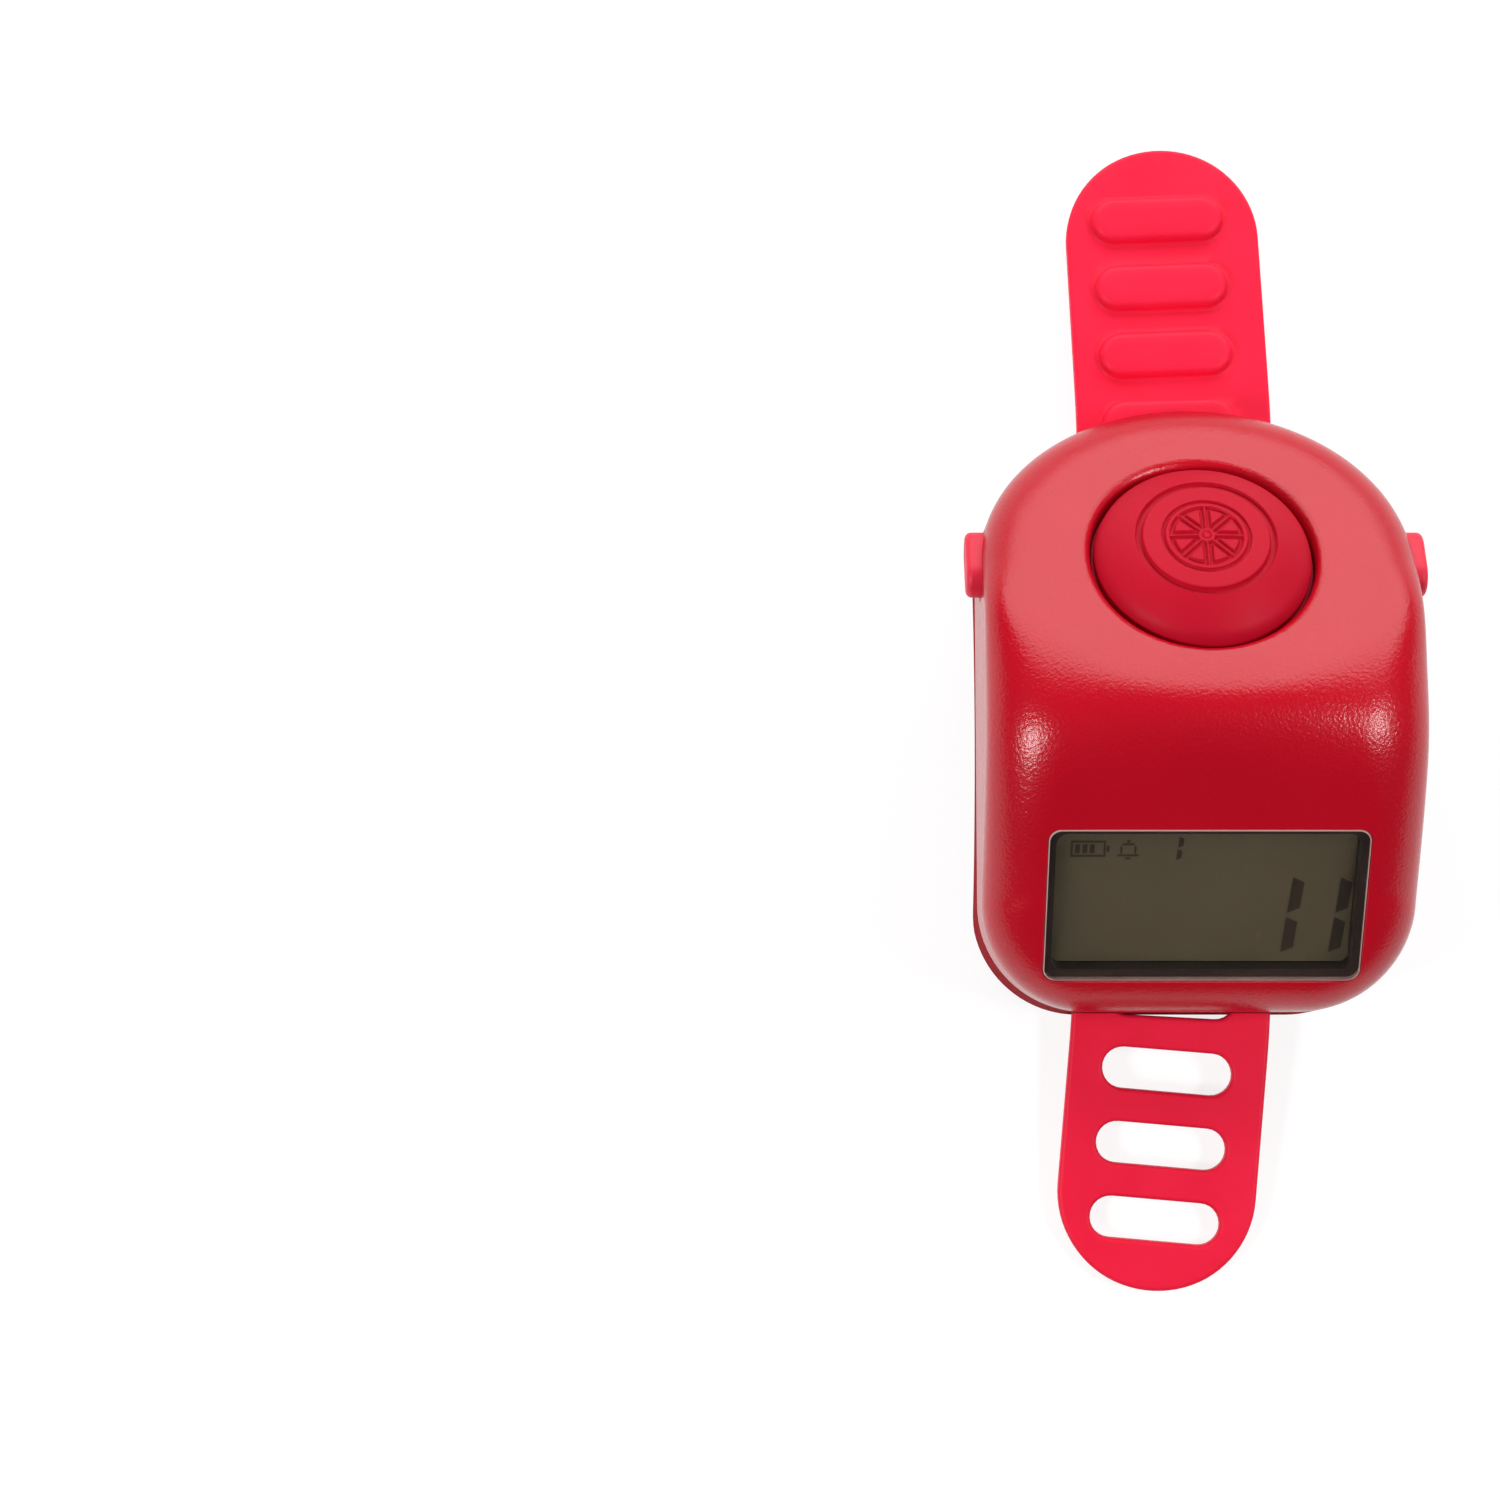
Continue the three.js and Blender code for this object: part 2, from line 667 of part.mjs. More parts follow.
function batteryDoor() {
  const gap = doorClearance;
  const inner = saddleRadius + 0.05;
  const outer = saddleRadius + doorThickness - gap;
  const door = saddleBand(doorWidth / 2 - gap, doorFront + gap, doorRear - gap, inner, outer);
  const level = doorScrewLevel();
  const head = rod(0, doorScrewY, screwHeadRadius + screwClearance, 0, level, postSides);
  const shank = rod(0, doorScrewY, postHole, 0, 12);
  return door.subtract(toSolid(head)).subtract(toSolid(shank));
}

// Dome height over the top face at a radius: part of a sphere, with a flatter middle
function domeHeight(radius, rimRadius) {
  const sphere = (rimRadius ** 2 + buttonDomeRise ** 2) / (2 * buttonDomeRise);
  const middle = ringGrooveRadius - ringGrooveWidth / 2;
  const outer = Math.max(radius, middle);
  const height = buttonDomeRise - sphere + Math.sqrt(sphere ** 2 - outer ** 2) + buttonRimProud;
  return height + medallionRise * (1 - Math.min(1, radius / middle) ** 2);
}

// Turned profile of the count button: dome with a ring groove, skirt, flange and a middle post
function countButton() {
  const rim = buttonHoleRadius - buttonClearance;
  const flange = buttonHoleRadius + buttonFlangeWidth;
  const inner = rim - buttonCrown;
  const grooveIn = ringGrooveRadius - ringGrooveWidth / 2;
  const grooveOut = ringGrooveRadius + ringGrooveWidth / 2;
  const postEnd = -switchBoardDepth + switchHeight + plungerProud + contactGap;
  const flangeBottom = flangeTop - buttonFlangeThickness;
  const dome = (radius, drop = 0) => new THREE.Vector2(radius, domeHeight(radius, rim) - drop);
  const profile = [
    new THREE.Vector2(0, postEnd),
    new THREE.Vector2(buttonPostRadius, postEnd),
    dome(buttonPostRadius, buttonCrown),
    dome(inner * 0.6, buttonCrown),
    dome(inner, buttonCrown),
    new THREE.Vector2(inner, flangeBottom),
    new THREE.Vector2(flange, flangeBottom),
    new THREE.Vector2(flange, flangeTop),
    new THREE.Vector2(rim, flangeTop),
    new THREE.Vector2(rim, buttonRimProud - 1.25 * buttonRimRound),
    new THREE.Vector2(rim - 0.3 * buttonRimRound, buttonRimProud - 0.42 * buttonRimRound),
    dome(rim - buttonRimRound),
    dome(rim * 0.86),
    dome(rim * 0.74),
    dome(grooveOut + ringGrooveLip),
    dome(grooveOut - ringGrooveLip, ringGrooveDepth),
    dome(grooveIn + ringGrooveLip, ringGrooveDepth),
    dome(grooveIn - ringGrooveLip),
    dome(rim * 0.36),
    dome(rim * 0.18),
    dome(0),
  ];
  return turned(profile, 48);
}

// Solid of revolution about Z from a profile of radius and height
function turned(profile, sides) {
  return toSolid(new THREE.LatheGeometry(profile, sides).rotateX(Math.PI / 2));
}

// Side button for one side: pad, inner flange and the nub that meets the switch
function sideButton(side) {
  const outer = halfWidth + sideButtonProud;
  const flangeOuter = halfWidth - sideFlangeDepth;
  const flangeInner = flangeOuter - sideFlangeThickness;
  const ends = (a, b) => (side > 0 ? [a, b] : [-b, -a]);
  const pad = toSolid(sideCapsule(0, ...ends(flangeInner, outer - sideCrownStep)));
  const crown = toSolid(sideCapsule(-0.7 * sideCrownStep, ...ends(flangeInner, outer)));
  const wide = capsuleShape(sideButtonLength + 2 * sideFlangeOverhang, sideButtonHeight);
  const [x0, x1] = ends(flangeInner, flangeOuter);
  const flange = plate(wide, 0, x1 - x0, 6).rotateZ(Math.PI / 2).rotateY(Math.PI / 2);
  flange.translate(x0, sideButtonAt.y, sideButtonAt.z);
  const [y0, y1] = [sideButtonAt.y - sideTabHalf, sideButtonAt.y + sideTabHalf];
  const tab = block(x0, x1, y0, y1, nubZ - sideNubRadius, sideButtonAt.z);
  const nubEnd = sidePlungerFace() + contactGap;
  const nub = crossRod(...ends(nubEnd, flangeOuter), sideButtonAt.y, nubZ, sideNubRadius);
  return pad.add(crown).add(toSolid(flange)).add(toSolid(tab)).add(toSolid(nub));
}

// Outer face of a side switch's plunger
function sidePlungerFace() {
  return sideSwitchFace() + plungerProud;
}

function sideSwitchFace() {
  const flangeInner = halfWidth - sideFlangeDepth - sideFlangeThickness;
  return flangeInner - plungerProud - sideButtonTravel;
}

function displayWindow() {
  const width = windowWidth - 2 * windowClearance;
  const height = windowHeight - 2 * windowClearance;
  const shape = roundedShape(width - 2 * windowBevel, height - 2 * windowBevel, windowCorner - windowBevel);
  const options = {
    depth: windowThickness - windowBevel,
    bevelEnabled: true,
    bevelThickness: windowBevel,
    bevelSize: windowBevel,
    bevelSegments: 1,
    curveSegments: 5,
  };
  const pane = new THREE.ExtrudeGeometry(shape, options);
  pane.translate(0, 0, -windowRecess - windowThickness);
  const under = block(-width, width, -height, height, -cutReach, -windowRecess - windowThickness);
  return toSolid(pane).subtract(toSolid(under));
}

// Rectangular frame between two depths
function frameSolid(width, height, wall, z0, z1) {
  const outer = toSolid(roundedPlate(width, height, 0.6, z0, z1));
  const inner = toSolid(roundedPlate(width - 2 * wall, height - 2 * wall, 0.4, z0 - 1, z1 + 1));
  return outer.subtract(inner);
}

function addDisplayStack() {
  const gasketBottom = gasketTop - gasketThickness;
  const gasket = frameSolid(glassWidth, glassHeight, bezelInset + 0.1, gasketBottom, gasketTop);
  addPiece(frontFrame, "display_window", displayWindow(), 0x8a8478, 0.12);
  addPiece(frontFrame, "window_gasket", gasket, 0x1c1c1e, 0.9);
  const glass = roundedPlate(glassWidth, glassHeight, 0.3, glassTop - glassThickness, glassTop);
  addPiece(frontFrame, "lcd_glass", toSolid(glass), 0x4d4536, 0.3);
  const bezelBottom = mainBoardTop + stackGap;
  const bezel = frameSolid(bezelWidth, bezelHeight, bezelWall, bezelBottom, glassTop);
  addPiece(frontFrame, "lcd_bezel", bezel, 0xe8e6e0, 0.5);
  const stripTop = glassTop - glassThickness - stackGap;
  const stripY = glassHeight / 2 - rubberStripWidth;
  const stripHalf = glassWidth / 2 - 0.4;
  for (const side of [-1, 1]) {
    const name = side < 0 ? "rubber_strip_lower" : "rubber_strip_upper";
    const y0 = side * stripY - rubberStripWidth / 2;
    const strip = block(-stripHalf, stripHalf, y0, y0 + rubberStripWidth, bezelBottom, stripTop);
    addPiece(frontFrame, name, toSolid(strip), 0x2b2b2e, 0.8);
  }
  const lightY = stripY - rubberStripWidth / 2 - 0.3;
  const lightX = glassWidth / 2 - 1.6;
  const lightBottom = backlightTop - backlightThickness;
  const light = roundedPlate(2 * lightX, 2 * lightY, 0.3, lightBottom, backlightTop);
  addPiece(frontFrame, "backlight_plate", toSolid(light), 0xf4f4ee, 0.35);
  const ledX = lightX + 0.2;
  const led = block(ledX, ledX + ledHeight, -ledWidth / 2, ledWidth / 2, bezelBottom, lightBottom + 1);
  addPiece(frontFrame, "backlight_led", toSolid(led), 0xf2e9b0, 0.4);
}

function addMainBoard() {
  const bottom = mainBoardTop - boardThickness;
  const half = mainBoardWidth / 2;
  let board = toSolid(block(-half, half, -mainBoardFall, mainBoardRise, bottom, mainBoardTop));
  for (const side of [-1, 1]) {
    board = board.subtract(toSolid(rod(side * mainScrewX, mainScrewRise, postHole, bottom - 1, 1)));
    const name = side < 0 ? "main_board_screw_left" : "main_board_screw_right";
    const piece = screw(side * mainScrewX, mainScrewRise, bottom, smallScrewLength);
    addPiece(frontFrame, name, piece, 0xb9bcc0, 0.35, 1);
  }
  addPiece(frontFrame, "main_board", board, 0x1f6b3a, 0.55);
  const face = bottom - contactGap;
  const blob = [
    new THREE.Vector2(0, face - blobHeight),
    new THREE.Vector2(0.48 * blobRadius, face - 0.95 * blobHeight),
    new THREE.Vector2(0.85 * blobRadius, face - 0.5 * blobHeight),
    new THREE.Vector2(blobRadius, face),
    new THREE.Vector2(0, face),
  ];
  const blobSolid = turned(blob, boreSides).translate([blobX, blobRise, 0]);
  addPiece(frontFrame, "controller_blob", blobSolid, 0x0f0f10, 0.35);
  const canEnd = half - crystalInset;
  const can = crossRod(canEnd - crystalLength, canEnd, crystalRise, face - crystalRadius, crystalRadius);
  addPiece(frontFrame, "quartz_crystal", toSolid(can), 0xc4c6c9, 0.25, 1);
}

// Switch housing with a blind bore for its plunger, opening towards +Z
function switchBody(width, depth, base, height, bore) {
  const top = base + height;
  const housing = toSolid(roundedPlate(width, depth, 0.4, base, top));
  return housing.subtract(toSolid(rod(0, 0, bore, top - switchBoreDepth, top + 1, boreSides)));
}

function plungerSolid(base, height) {
  const top = base + height;
  return toSolid(rod(0, 0, plungerRadius, top - plungerSunk, top + plungerProud, boreSides));
}

// Right-angle switch that faces one side, standing on the switch board
function sideSwitch(side) {
  const face = sideSwitchFace();
  const [x0, x1] = side > 0 ? [face - sideSwitchDepth, face] : [-face, -face + sideSwitchDepth];
  const y0 = sideButtonAt.y - sideSwitchSpan / 2;
  const y1 = sideButtonAt.y + sideSwitchSpan / 2;
  const top = sideSwitchFoot + sideSwitchHeight;
  const housing = toSolid(block(x0, x1, y0, y1, sideSwitchFoot, top));
  const bore = sidePlungerRadius + contactGap;
  const deep = face - switchBoreDepth;
  const hole = side > 0 ? [deep, face + 1] : [-face - 1, -deep];
  return housing.subtract(toSolid(crossRod(...hole, sideButtonAt.y, nubZ, bore, postSides)));
}

function sidePlunger(side) {
  const face = sideSwitchFace();
  const span = [face - plungerSunk, face + plungerProud];
  const ends = side > 0 ? span : [-span[1], -span[0]];
  return toSolid(crossRod(...ends, sideButtonAt.y, nubZ, sidePlungerRadius, postSides));
}

function addSwitchBoard() {
  const top = -switchBoardDepth;
  const bottom = top - boardThickness;
  const half = switchBoardWidth / 2;
  let board = toSolid(block(-half, half, -switchBoardFront, switchBoardRear, bottom, top));
  for (const side of [-1, 1]) {
    board = board.subtract(toSolid(rod(side * switchScrewX, -switchScrewY, postHole, bottom - 1, 1)));
    const name = side < 0 ? "switch_board_screw_left" : "switch_board_screw_right";
    const piece = screw(side * switchScrewX, -switchScrewY, bottom, smallScrewLength);
    addPiece(topFrame, name, piece, 0xb9bcc0, 0.35, 1);
  }
  addPiece(topFrame, "switch_board", board, 0x1f6b3a, 0.55);
  const base = top + contactGap / 2;
  const housing = switchBody(switchSize, switchSize, base, switchHeight, plungerRadius + contactGap);
  addPiece(topFrame, "count_switch_body", housing, 0x2c2c30, 0.4);
  addPiece(topFrame, "count_switch_plunger", plungerSolid(top, switchHeight), 0xd8d2c4, 0.5);
  for (const side of [-1, 1]) {
    const word = side < 0 ? "left" : "right";
    addPiece(topFrame, `${word}_switch_body`, sideSwitch(side), 0x2c2c30, 0.4);
    addPiece(topFrame, `${word}_switch_plunger`, sidePlunger(side), 0xd8d2c4, 0.5);
  }
}

function addBattery() {
  const top = cellHeight + cellThickness;
  const cell = [
    new THREE.Vector2(0, cellHeight),
    new THREE.Vector2(cellRadius - cellStepWidth, cellHeight),
    new THREE.Vector2(cellRadius - cellStepWidth, cellHeight + cellStep),
    new THREE.Vector2(cellRadius, cellHeight + cellStep),
    new THREE.Vector2(cellRadius, top - 0.15),
    new THREE.Vector2(cellRadius - 0.15, top),
    new THREE.Vector2(0, top),
  ];
  const cellSolid = turned(cell, roundSides).translate([0, cellY, 0]);
  addPiece(body, "coin_cell", cellSolid, 0xc9cacc, 0.25, 1);
  const leafTop = top + contactGap + contactThickness;
  const halfLeaf = contactWidth / 2;
  const [y0, y1] = [cellY - contactLength / 2, cellY + contactLength / 2];
  const leaf = toSolid(block(-halfLeaf, halfLeaf, y0, y1, top + contactGap, leafTop));
  addPiece(body, "battery_contact_plus", leaf, 0xd0b070, 0.35, 1);
  const reach = cellRadius + cellClearance + 0.3;
  const wallTop = reach + contactThickness;
  const wall = toSolid(block(reach, wallTop, cellY - halfLeaf, cellY + halfLeaf, cellHeight, leafTop));
  addPiece(body, "battery_contact_minus", wall, 0xd0b070, 0.35, 1);
}

// Thin strip across X that follows a list of points in the YZ plane
function ribbonSolid(points, width, thickness) {
  const curve = new THREE.CatmullRomCurve3(points.map(([y, z]) => new THREE.Vector3(0, y, z)));
  const shape = new THREE.Shape();
  const half = thickness / 2;
  const steps = 10;
  const upper = [];
  const lower = [];
  for (let i = 0; i <= steps; i++) {
    const p = curve.getPoint(i / steps);
    const t = curve.getTangent(i / steps);
    upper.push(new THREE.Vector2(p.y - t.z * half, p.z + t.y * half));
    lower.push(new THREE.Vector2(p.y + t.z * half, p.z - t.y * half));
  }
  shape.setFromPoints(lower.concat(upper.reverse()));
  const strip = plate(shape, -width / 2, width / 2);
  strip.rotateX(Math.PI / 2);
  strip.rotateZ(Math.PI / 2);
  return toSolid(strip);
}

function addCables() {
  const ribbon = ribbonSolid(ribbonPath(), ribbonWidth, ribbonThickness);
  addPiece(body, "board_ribbon", ribbon, 0xc78a2a, 0.5);
}

// Path of the ribbon in the YZ plane, hung just under the two boards' facing edges
function ribbonPath() {
  const under = mainBoardTop - boardThickness;
  const switchUnder = -switchBoardDepth - boardThickness;
  const inset = ribbonTurn + ribbonLap;
  const mainEnd = new THREE.Vector3(0, mainBoardRise - inset, under - ribbonGap);
  const mainOut = new THREE.Vector3(0, mainBoardRise - ribbonTurn, under - ribbonSag);
  const switchOut = new THREE.Vector3(0, -switchBoardFront + ribbonTurn, switchUnder - ribbonSag);
  const switchEnd = new THREE.Vector3(0, -switchBoardFront + inset, switchUnder - ribbonGap);
  mainEnd.applyMatrix4(frontFrame.matrix);
  mainOut.applyMatrix4(frontFrame.matrix);
  switchOut.applyMatrix4(topFrame.matrix);
  switchEnd.applyMatrix4(topFrame.matrix);
  return [mainEnd, mainOut, switchOut, switchEnd].map((p) => [p.y, p.z]);
}

// Tail of the strap from the body out to the tip, along +Y, its underside at z = 0
function strapTail(length) {
  const radius = strapWidth / 2;
  const shape = new THREE.Shape();
  shape.moveTo(radius, -strapOverlap);
  shape.lineTo(radius, length - radius);
  shape.absarc(0, length - radius, radius, 0, Math.PI);
  shape.lineTo(-radius, -strapOverlap);
  return toSolid(plate(shape, 0, strapThickness, 10));
}

// Places of the holes or ribs along a tail, from the tip inwards
function strapStations(length, margin, pitch) {
  const stations = [];
  for (let i = 0; i < strapHoleCount; i++) {
    stations.push(length - margin - i * pitch);
  }
  return stations;
}

// Cutters for the holes of a tail
function tailHoles(length) {
  const shape = capsuleShape(strapHoleLength, strapHoleWidth);
  const cutter = toSolid(plate(shape, -1, strapThickness + 1, 6));
  return strapStations(length, holeEndMargin, holePitch).map((y) => cutter.translate([0, y, 0]));
}

// Raised ribs of a tail, each with a stepped edge
function tailRibs(length) {
  const top = strapThickness + ribHeight;
  const foot = plate(capsuleShape(ribLength, ribWidth), strapThickness / 2, top - ribSlope, 6);
  const crownShape = capsuleShape(ribLength - 2 * ribSlope, ribWidth - 2 * ribSlope);
  const crown = plate(crownShape, strapThickness / 2, top, 6);
  const rib = toSolid(foot).add(toSolid(crown));
  const stations = strapStations(length, ribEndMargin, ribPitch);
  return stations.map((y) => rib.translate([ribShift, y, 0]));
}

// The whole strap: flat through the body, each tail drooping to the surface and leaning left
function fingerStrap() {
  const halfBody = bodyLength / 2;
  const halfStrap = strapWidth / 2;
  const middle = block(-halfStrap, halfStrap, -halfBody, halfBody, 0, strapThickness);
  middle.rotateZ(-strapTurn);
  let strap = toSolid(middle.translate(strapShift, -bodyLead, strapBottom));
  for (const side of [-1, 1]) {
    const exitX = strapShift + side * halfBody * Math.sin(strapTurn);
    const exitY = side * halfBody * Math.cos(strapTurn) - bodyLead;
    const angle = side > 0 ? rearLean : frontLean;
    const radius = strapWidth / 2;
    const length = radius + (strapReach / 2 - Math.abs(exitY) - radius) / Math.cos(angle);
    const droop = new THREE.Matrix4().makeRotationX(-side * Math.asin(strapBottom / length));
    const lean = new THREE.Matrix4().makeRotationZ(side * angle);
    const place = new THREE.Matrix4().makeTranslation(exitX, exitY, strapBottom);
    place.multiply(lean).multiply(droop);
    const laid = (solid) => {
      const outward = side > 0 ? solid : solid.mirror([0, 1, 0]);
      return outward.transform(place.toArray());
    };
    strap = strap.add(laid(strapTail(length)));
    if (side > 0) tailRibs(length).forEach((rib) => (strap = strap.add(laid(rib))));
    else tailHoles(length).forEach((hole) => (strap = strap.subtract(laid(hole))));
  }
  return strap;
}

addPiece(body, "upper_shell", upperShell(), 0xb3121f, 0.45);
addPiece(body, "bottom_cover", bottomCover(), 0x9c101b, 0.5);
addPiece(body, "battery_door", batteryDoor(), 0x9c101b, 0.5);
const doorScrew = screw(0, doorScrewY, doorScrewLevel(), doorScrewLength);
addPiece(body, "battery_door_screw", doorScrew, 0xb9bcc0, 0.35, 1);
for (const [word, side] of [["left", -1], ["right", 1]]) {
  const front = screw(side * frontPost.x, frontPost.y, frontHeadLevel(), caseScrewLength);
  const rear = screw(side * rearPost.x, rearPost.y, rearHeadDepth, caseScrewLength);
  addPiece(body, `case_screw_front_${word}`, front, 0xb9bcc0, 0.35, 1);
  addPiece(body, `case_screw_rear_${word}`, rear, 0xb9bcc0, 0.35, 1);
}
addPiece(topFrame, "count_button", countButton(), 0xcc2033, 0.55);
addPiece(topFrame, "left_side_button", sideButton(-1), 0xe0283c, 0.5);
addPiece(topFrame, "right_side_button", sideButton(1), 0xe0283c, 0.5);
addDisplayStack();
addMainBoard();
addSwitchBoard();
addBattery();
addCables();
addPiece(counter, "finger_strap", fingerStrap(), 0xf52440, 0.45);

export default counter;
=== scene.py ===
"""Looks of a digital finger tally counter that lies on its open silicone strap.

Sizes are in millimetres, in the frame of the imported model: +Z up, the display towards -Y.
"""

import logging
import math
from collections.abc import Callable, Sequence
from dataclasses import dataclass
from enum import Enum

import bpy
import numpy as np
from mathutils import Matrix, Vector
from mathutils.geometry import delaunay_2d_cdt


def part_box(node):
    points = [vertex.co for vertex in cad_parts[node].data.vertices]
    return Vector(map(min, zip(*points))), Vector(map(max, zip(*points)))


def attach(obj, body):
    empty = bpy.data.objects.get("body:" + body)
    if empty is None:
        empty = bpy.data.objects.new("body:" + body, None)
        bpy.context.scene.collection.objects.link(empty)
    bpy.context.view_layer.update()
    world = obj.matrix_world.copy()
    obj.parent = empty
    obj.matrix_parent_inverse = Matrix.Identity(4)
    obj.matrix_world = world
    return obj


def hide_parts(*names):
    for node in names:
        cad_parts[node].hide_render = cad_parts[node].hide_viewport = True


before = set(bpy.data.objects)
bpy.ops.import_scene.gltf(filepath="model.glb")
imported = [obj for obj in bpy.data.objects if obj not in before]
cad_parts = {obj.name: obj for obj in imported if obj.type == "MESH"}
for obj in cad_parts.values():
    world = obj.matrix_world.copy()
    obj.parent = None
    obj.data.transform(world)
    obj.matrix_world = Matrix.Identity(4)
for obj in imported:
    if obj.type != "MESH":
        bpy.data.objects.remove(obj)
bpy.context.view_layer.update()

log = logging.getLogger("counter")
MM = 0.001
CASE = "case"
Piece = bpy.types.Object
Tree = bpy.types.NodeTree
Node = bpy.types.Node
Socket = bpy.types.NodeSocket
Points = np.ndarray
Place = Callable[[Points], Points]
Profile = Sequence[tuple[float, float]]


class Join(Enum):
    """Ways of putting one solid with another."""

    ADD = "UNION"
    CUT = "DIFFERENCE"
    KEEP = "INTERSECT"


class Side(Enum):
    """The two sides of the body, as the sign of X."""

    LEFT = -1
    RIGHT = 1


def linear_colour(code: str) -> tuple[float, float, float, float]:
    """Turn an sRGB hex colour to linear light.

    Args:
        code: The colour as six hex digits.

    Returns:
        Red, green, blue and alpha, with alpha at 1.
    """
    parts = [int(code[i : i + 2], 16) / 255 for i in (0, 2, 4)]
    red, green, blue = (p / 12.92 if p <= 0.04045 else ((p + 0.055) / 1.055) ** 2.4 for p in parts)
    return red, green, blue, 1.0


def fill_inputs(tree: Tree, node: Node, inputs: dict) -> None:
    """Set or link some of a node's inputs.

    Args:
        tree: The node tree.
        node: The node.
        inputs: Socket name or index to a value, or to an output socket that is linked to it.
    """
    for name, value in inputs.items():
        if isinstance(value, Socket):
            tree.links.new(value, node.inputs[name])
        else:
            node.inputs[name].default_value = value


def add_node(tree: Tree, kind: str, inputs: dict | None = None, **settings: object) -> Node:
    """Add a node to a tree with its settings and links.

    Args:
        tree: The node tree.
        kind: The node's type name.
        inputs: Its inputs, as for fill_inputs.
        **settings: The node's own properties.

    Returns:
        The new node.
    """
    node = tree.nodes.new(kind)
    for name, value in settings.items():
        setattr(node, name, value)
    fill_inputs(tree, node, inputs or {})
    return node


@dataclass(frozen=True)
class Skin:
    """A material while it is made: its nodes, its main shader and its Object coordinates."""

    tree: Tree
    shader: Node
    place: Socket

    def fill(self, inputs: dict) -> None:
        """Set or link inputs of the main shader."""
        fill_inputs(self.tree, self.shader, inputs)

    def pattern(self, kind: str, size_mm: float, inputs: dict | None = None, **settings: object) -> Node:
        """Add a texture at a real size.

        Args:
            kind: The texture node's type name.
            size_mm: Size of one cell of the pattern.
            inputs: Further inputs.
            **settings: The node's own properties.

        Returns:
            The texture node.
        """
        given = {"Vector": self.place, "Scale": 1 / (size_mm * MM), **(inputs or {})}
        return add_node(self.tree, kind, given, **settings)

    def mottle(self, size_mm: float, low: str, high: str, detail: float = 3.0) -> Socket:
        """Blend two colours by soft noise.

        Args:
            size_mm: Size of one patch.
            low: Colour of the darker patches.
            high: Colour of the lighter patches.
            detail: Octaves of the noise.

        Returns:
            The colour's output.
        """
        noise = self.pattern("ShaderNodeTexNoise", size_mm, {"Detail": detail})
        ramp = add_node(self.tree, "ShaderNodeValToRGB", {"Fac": noise.outputs["Fac"]})
        for stop, place, colour in zip(ramp.color_ramp.elements, (0.2, 0.8), (low, high)):
            stop.position = place
            stop.color = linear_colour(colour)
        return ramp.outputs["Color"]

    def relief(self, height: Socket, depth_mm: float, strength: float = 1.0) -> None:
        """Turn a height between 0 and 1 to fine relief of a real depth.

        Args:
            height: The pattern's height.
            depth_mm: Depth from the lowest to the highest point.
            strength: Share of the relief that shows.
        """
        inputs = {"Height": height, "Distance": depth_mm * MM, "Strength": strength}
        self.fill({"Normal": add_node(self.tree, "ShaderNodeBump", inputs).outputs["Normal"]})

    def spread(self, pattern: Socket, middle: float, change: float) -> None:
        """Let the roughness wander with a pattern between 0 and 1.

        Args:
            pattern: The pattern that it follows.
            middle: The middle roughness.
            change: Largest change either way.
        """
        inputs = {"Value": pattern, "To Min": middle - change, "To Max": middle + change}
        self.fill({"Roughness": add_node(self.tree, "ShaderNodeMapRange", inputs).outputs["Result"]})


@dataclass(frozen=True)
class Finish:
    """A finish with a shader of its own, made once and shared.

    Each kind of finish fills in its shader's nodes in dress.
    """

    name: str
    colour: str
    roughness: float

    def material(self) -> bpy.types.Material:
        """Make the Blender material on first use.

        Returns:
            The material under the finish's name.
        """
        made = bpy.data.materials.get(self.name)
        if made:
            return made
        made = bpy.data.materials.new(self.name)
        made.use_nodes = True
        made.diffuse_color = linear_colour(self.colour)
        tree = made.node_tree
        shader = next(n for n in tree.nodes if n.type == "BSDF_PRINCIPLED")
        skin = Skin(tree, shader, add_node(tree, "ShaderNodeTexCoord").outputs["Object"])
        skin.fill({"Base Color": linear_colour(self.colour), "Roughness": self.roughness})
        self.dress(skin)
        return made

    def dress(self, skin: Skin) -> None:
        """Fill in the finish's own nodes; the plain finish has none."""


@dataclass(frozen=True)
class MouldedPlastic(Finish):
    """Injection-moulded plastic: a satin skin with the fine pits of a spark-eroded mould."""

    pale: str
    grain_mm: float = 0.22
    grain_depth_mm: float = 0.012
    gloss: float = 0.5
    drift_mm: float = 9.0
    gloss_drift_mm: float = 6.0
    gloss_change: float = 0.03

    def dress(self, skin: Skin) -> None:
        """Add faint colour drift, mould grain and a slow change of gloss.

        Args:
            skin: The material's nodes.
        """
        skin.fill({"Base Color": skin.mottle(self.drift_mm, self.colour, self.pale, 1.0)})
        pits = skin.pattern("ShaderNodeTexNoise", self.grain_mm, {"Detail": 2.0, "Roughness": 0.6})
        skin.relief(pits.outputs["Fac"], self.grain_depth_mm)
        drift = skin.pattern("ShaderNodeTexNoise", self.gloss_drift_mm, {"Detail": 1.0})
        skin.spread(drift.outputs["Fac"], self.roughness, self.gloss_change)
        skin.fill({"IOR": 1.5, "Specular IOR Level": self.gloss})


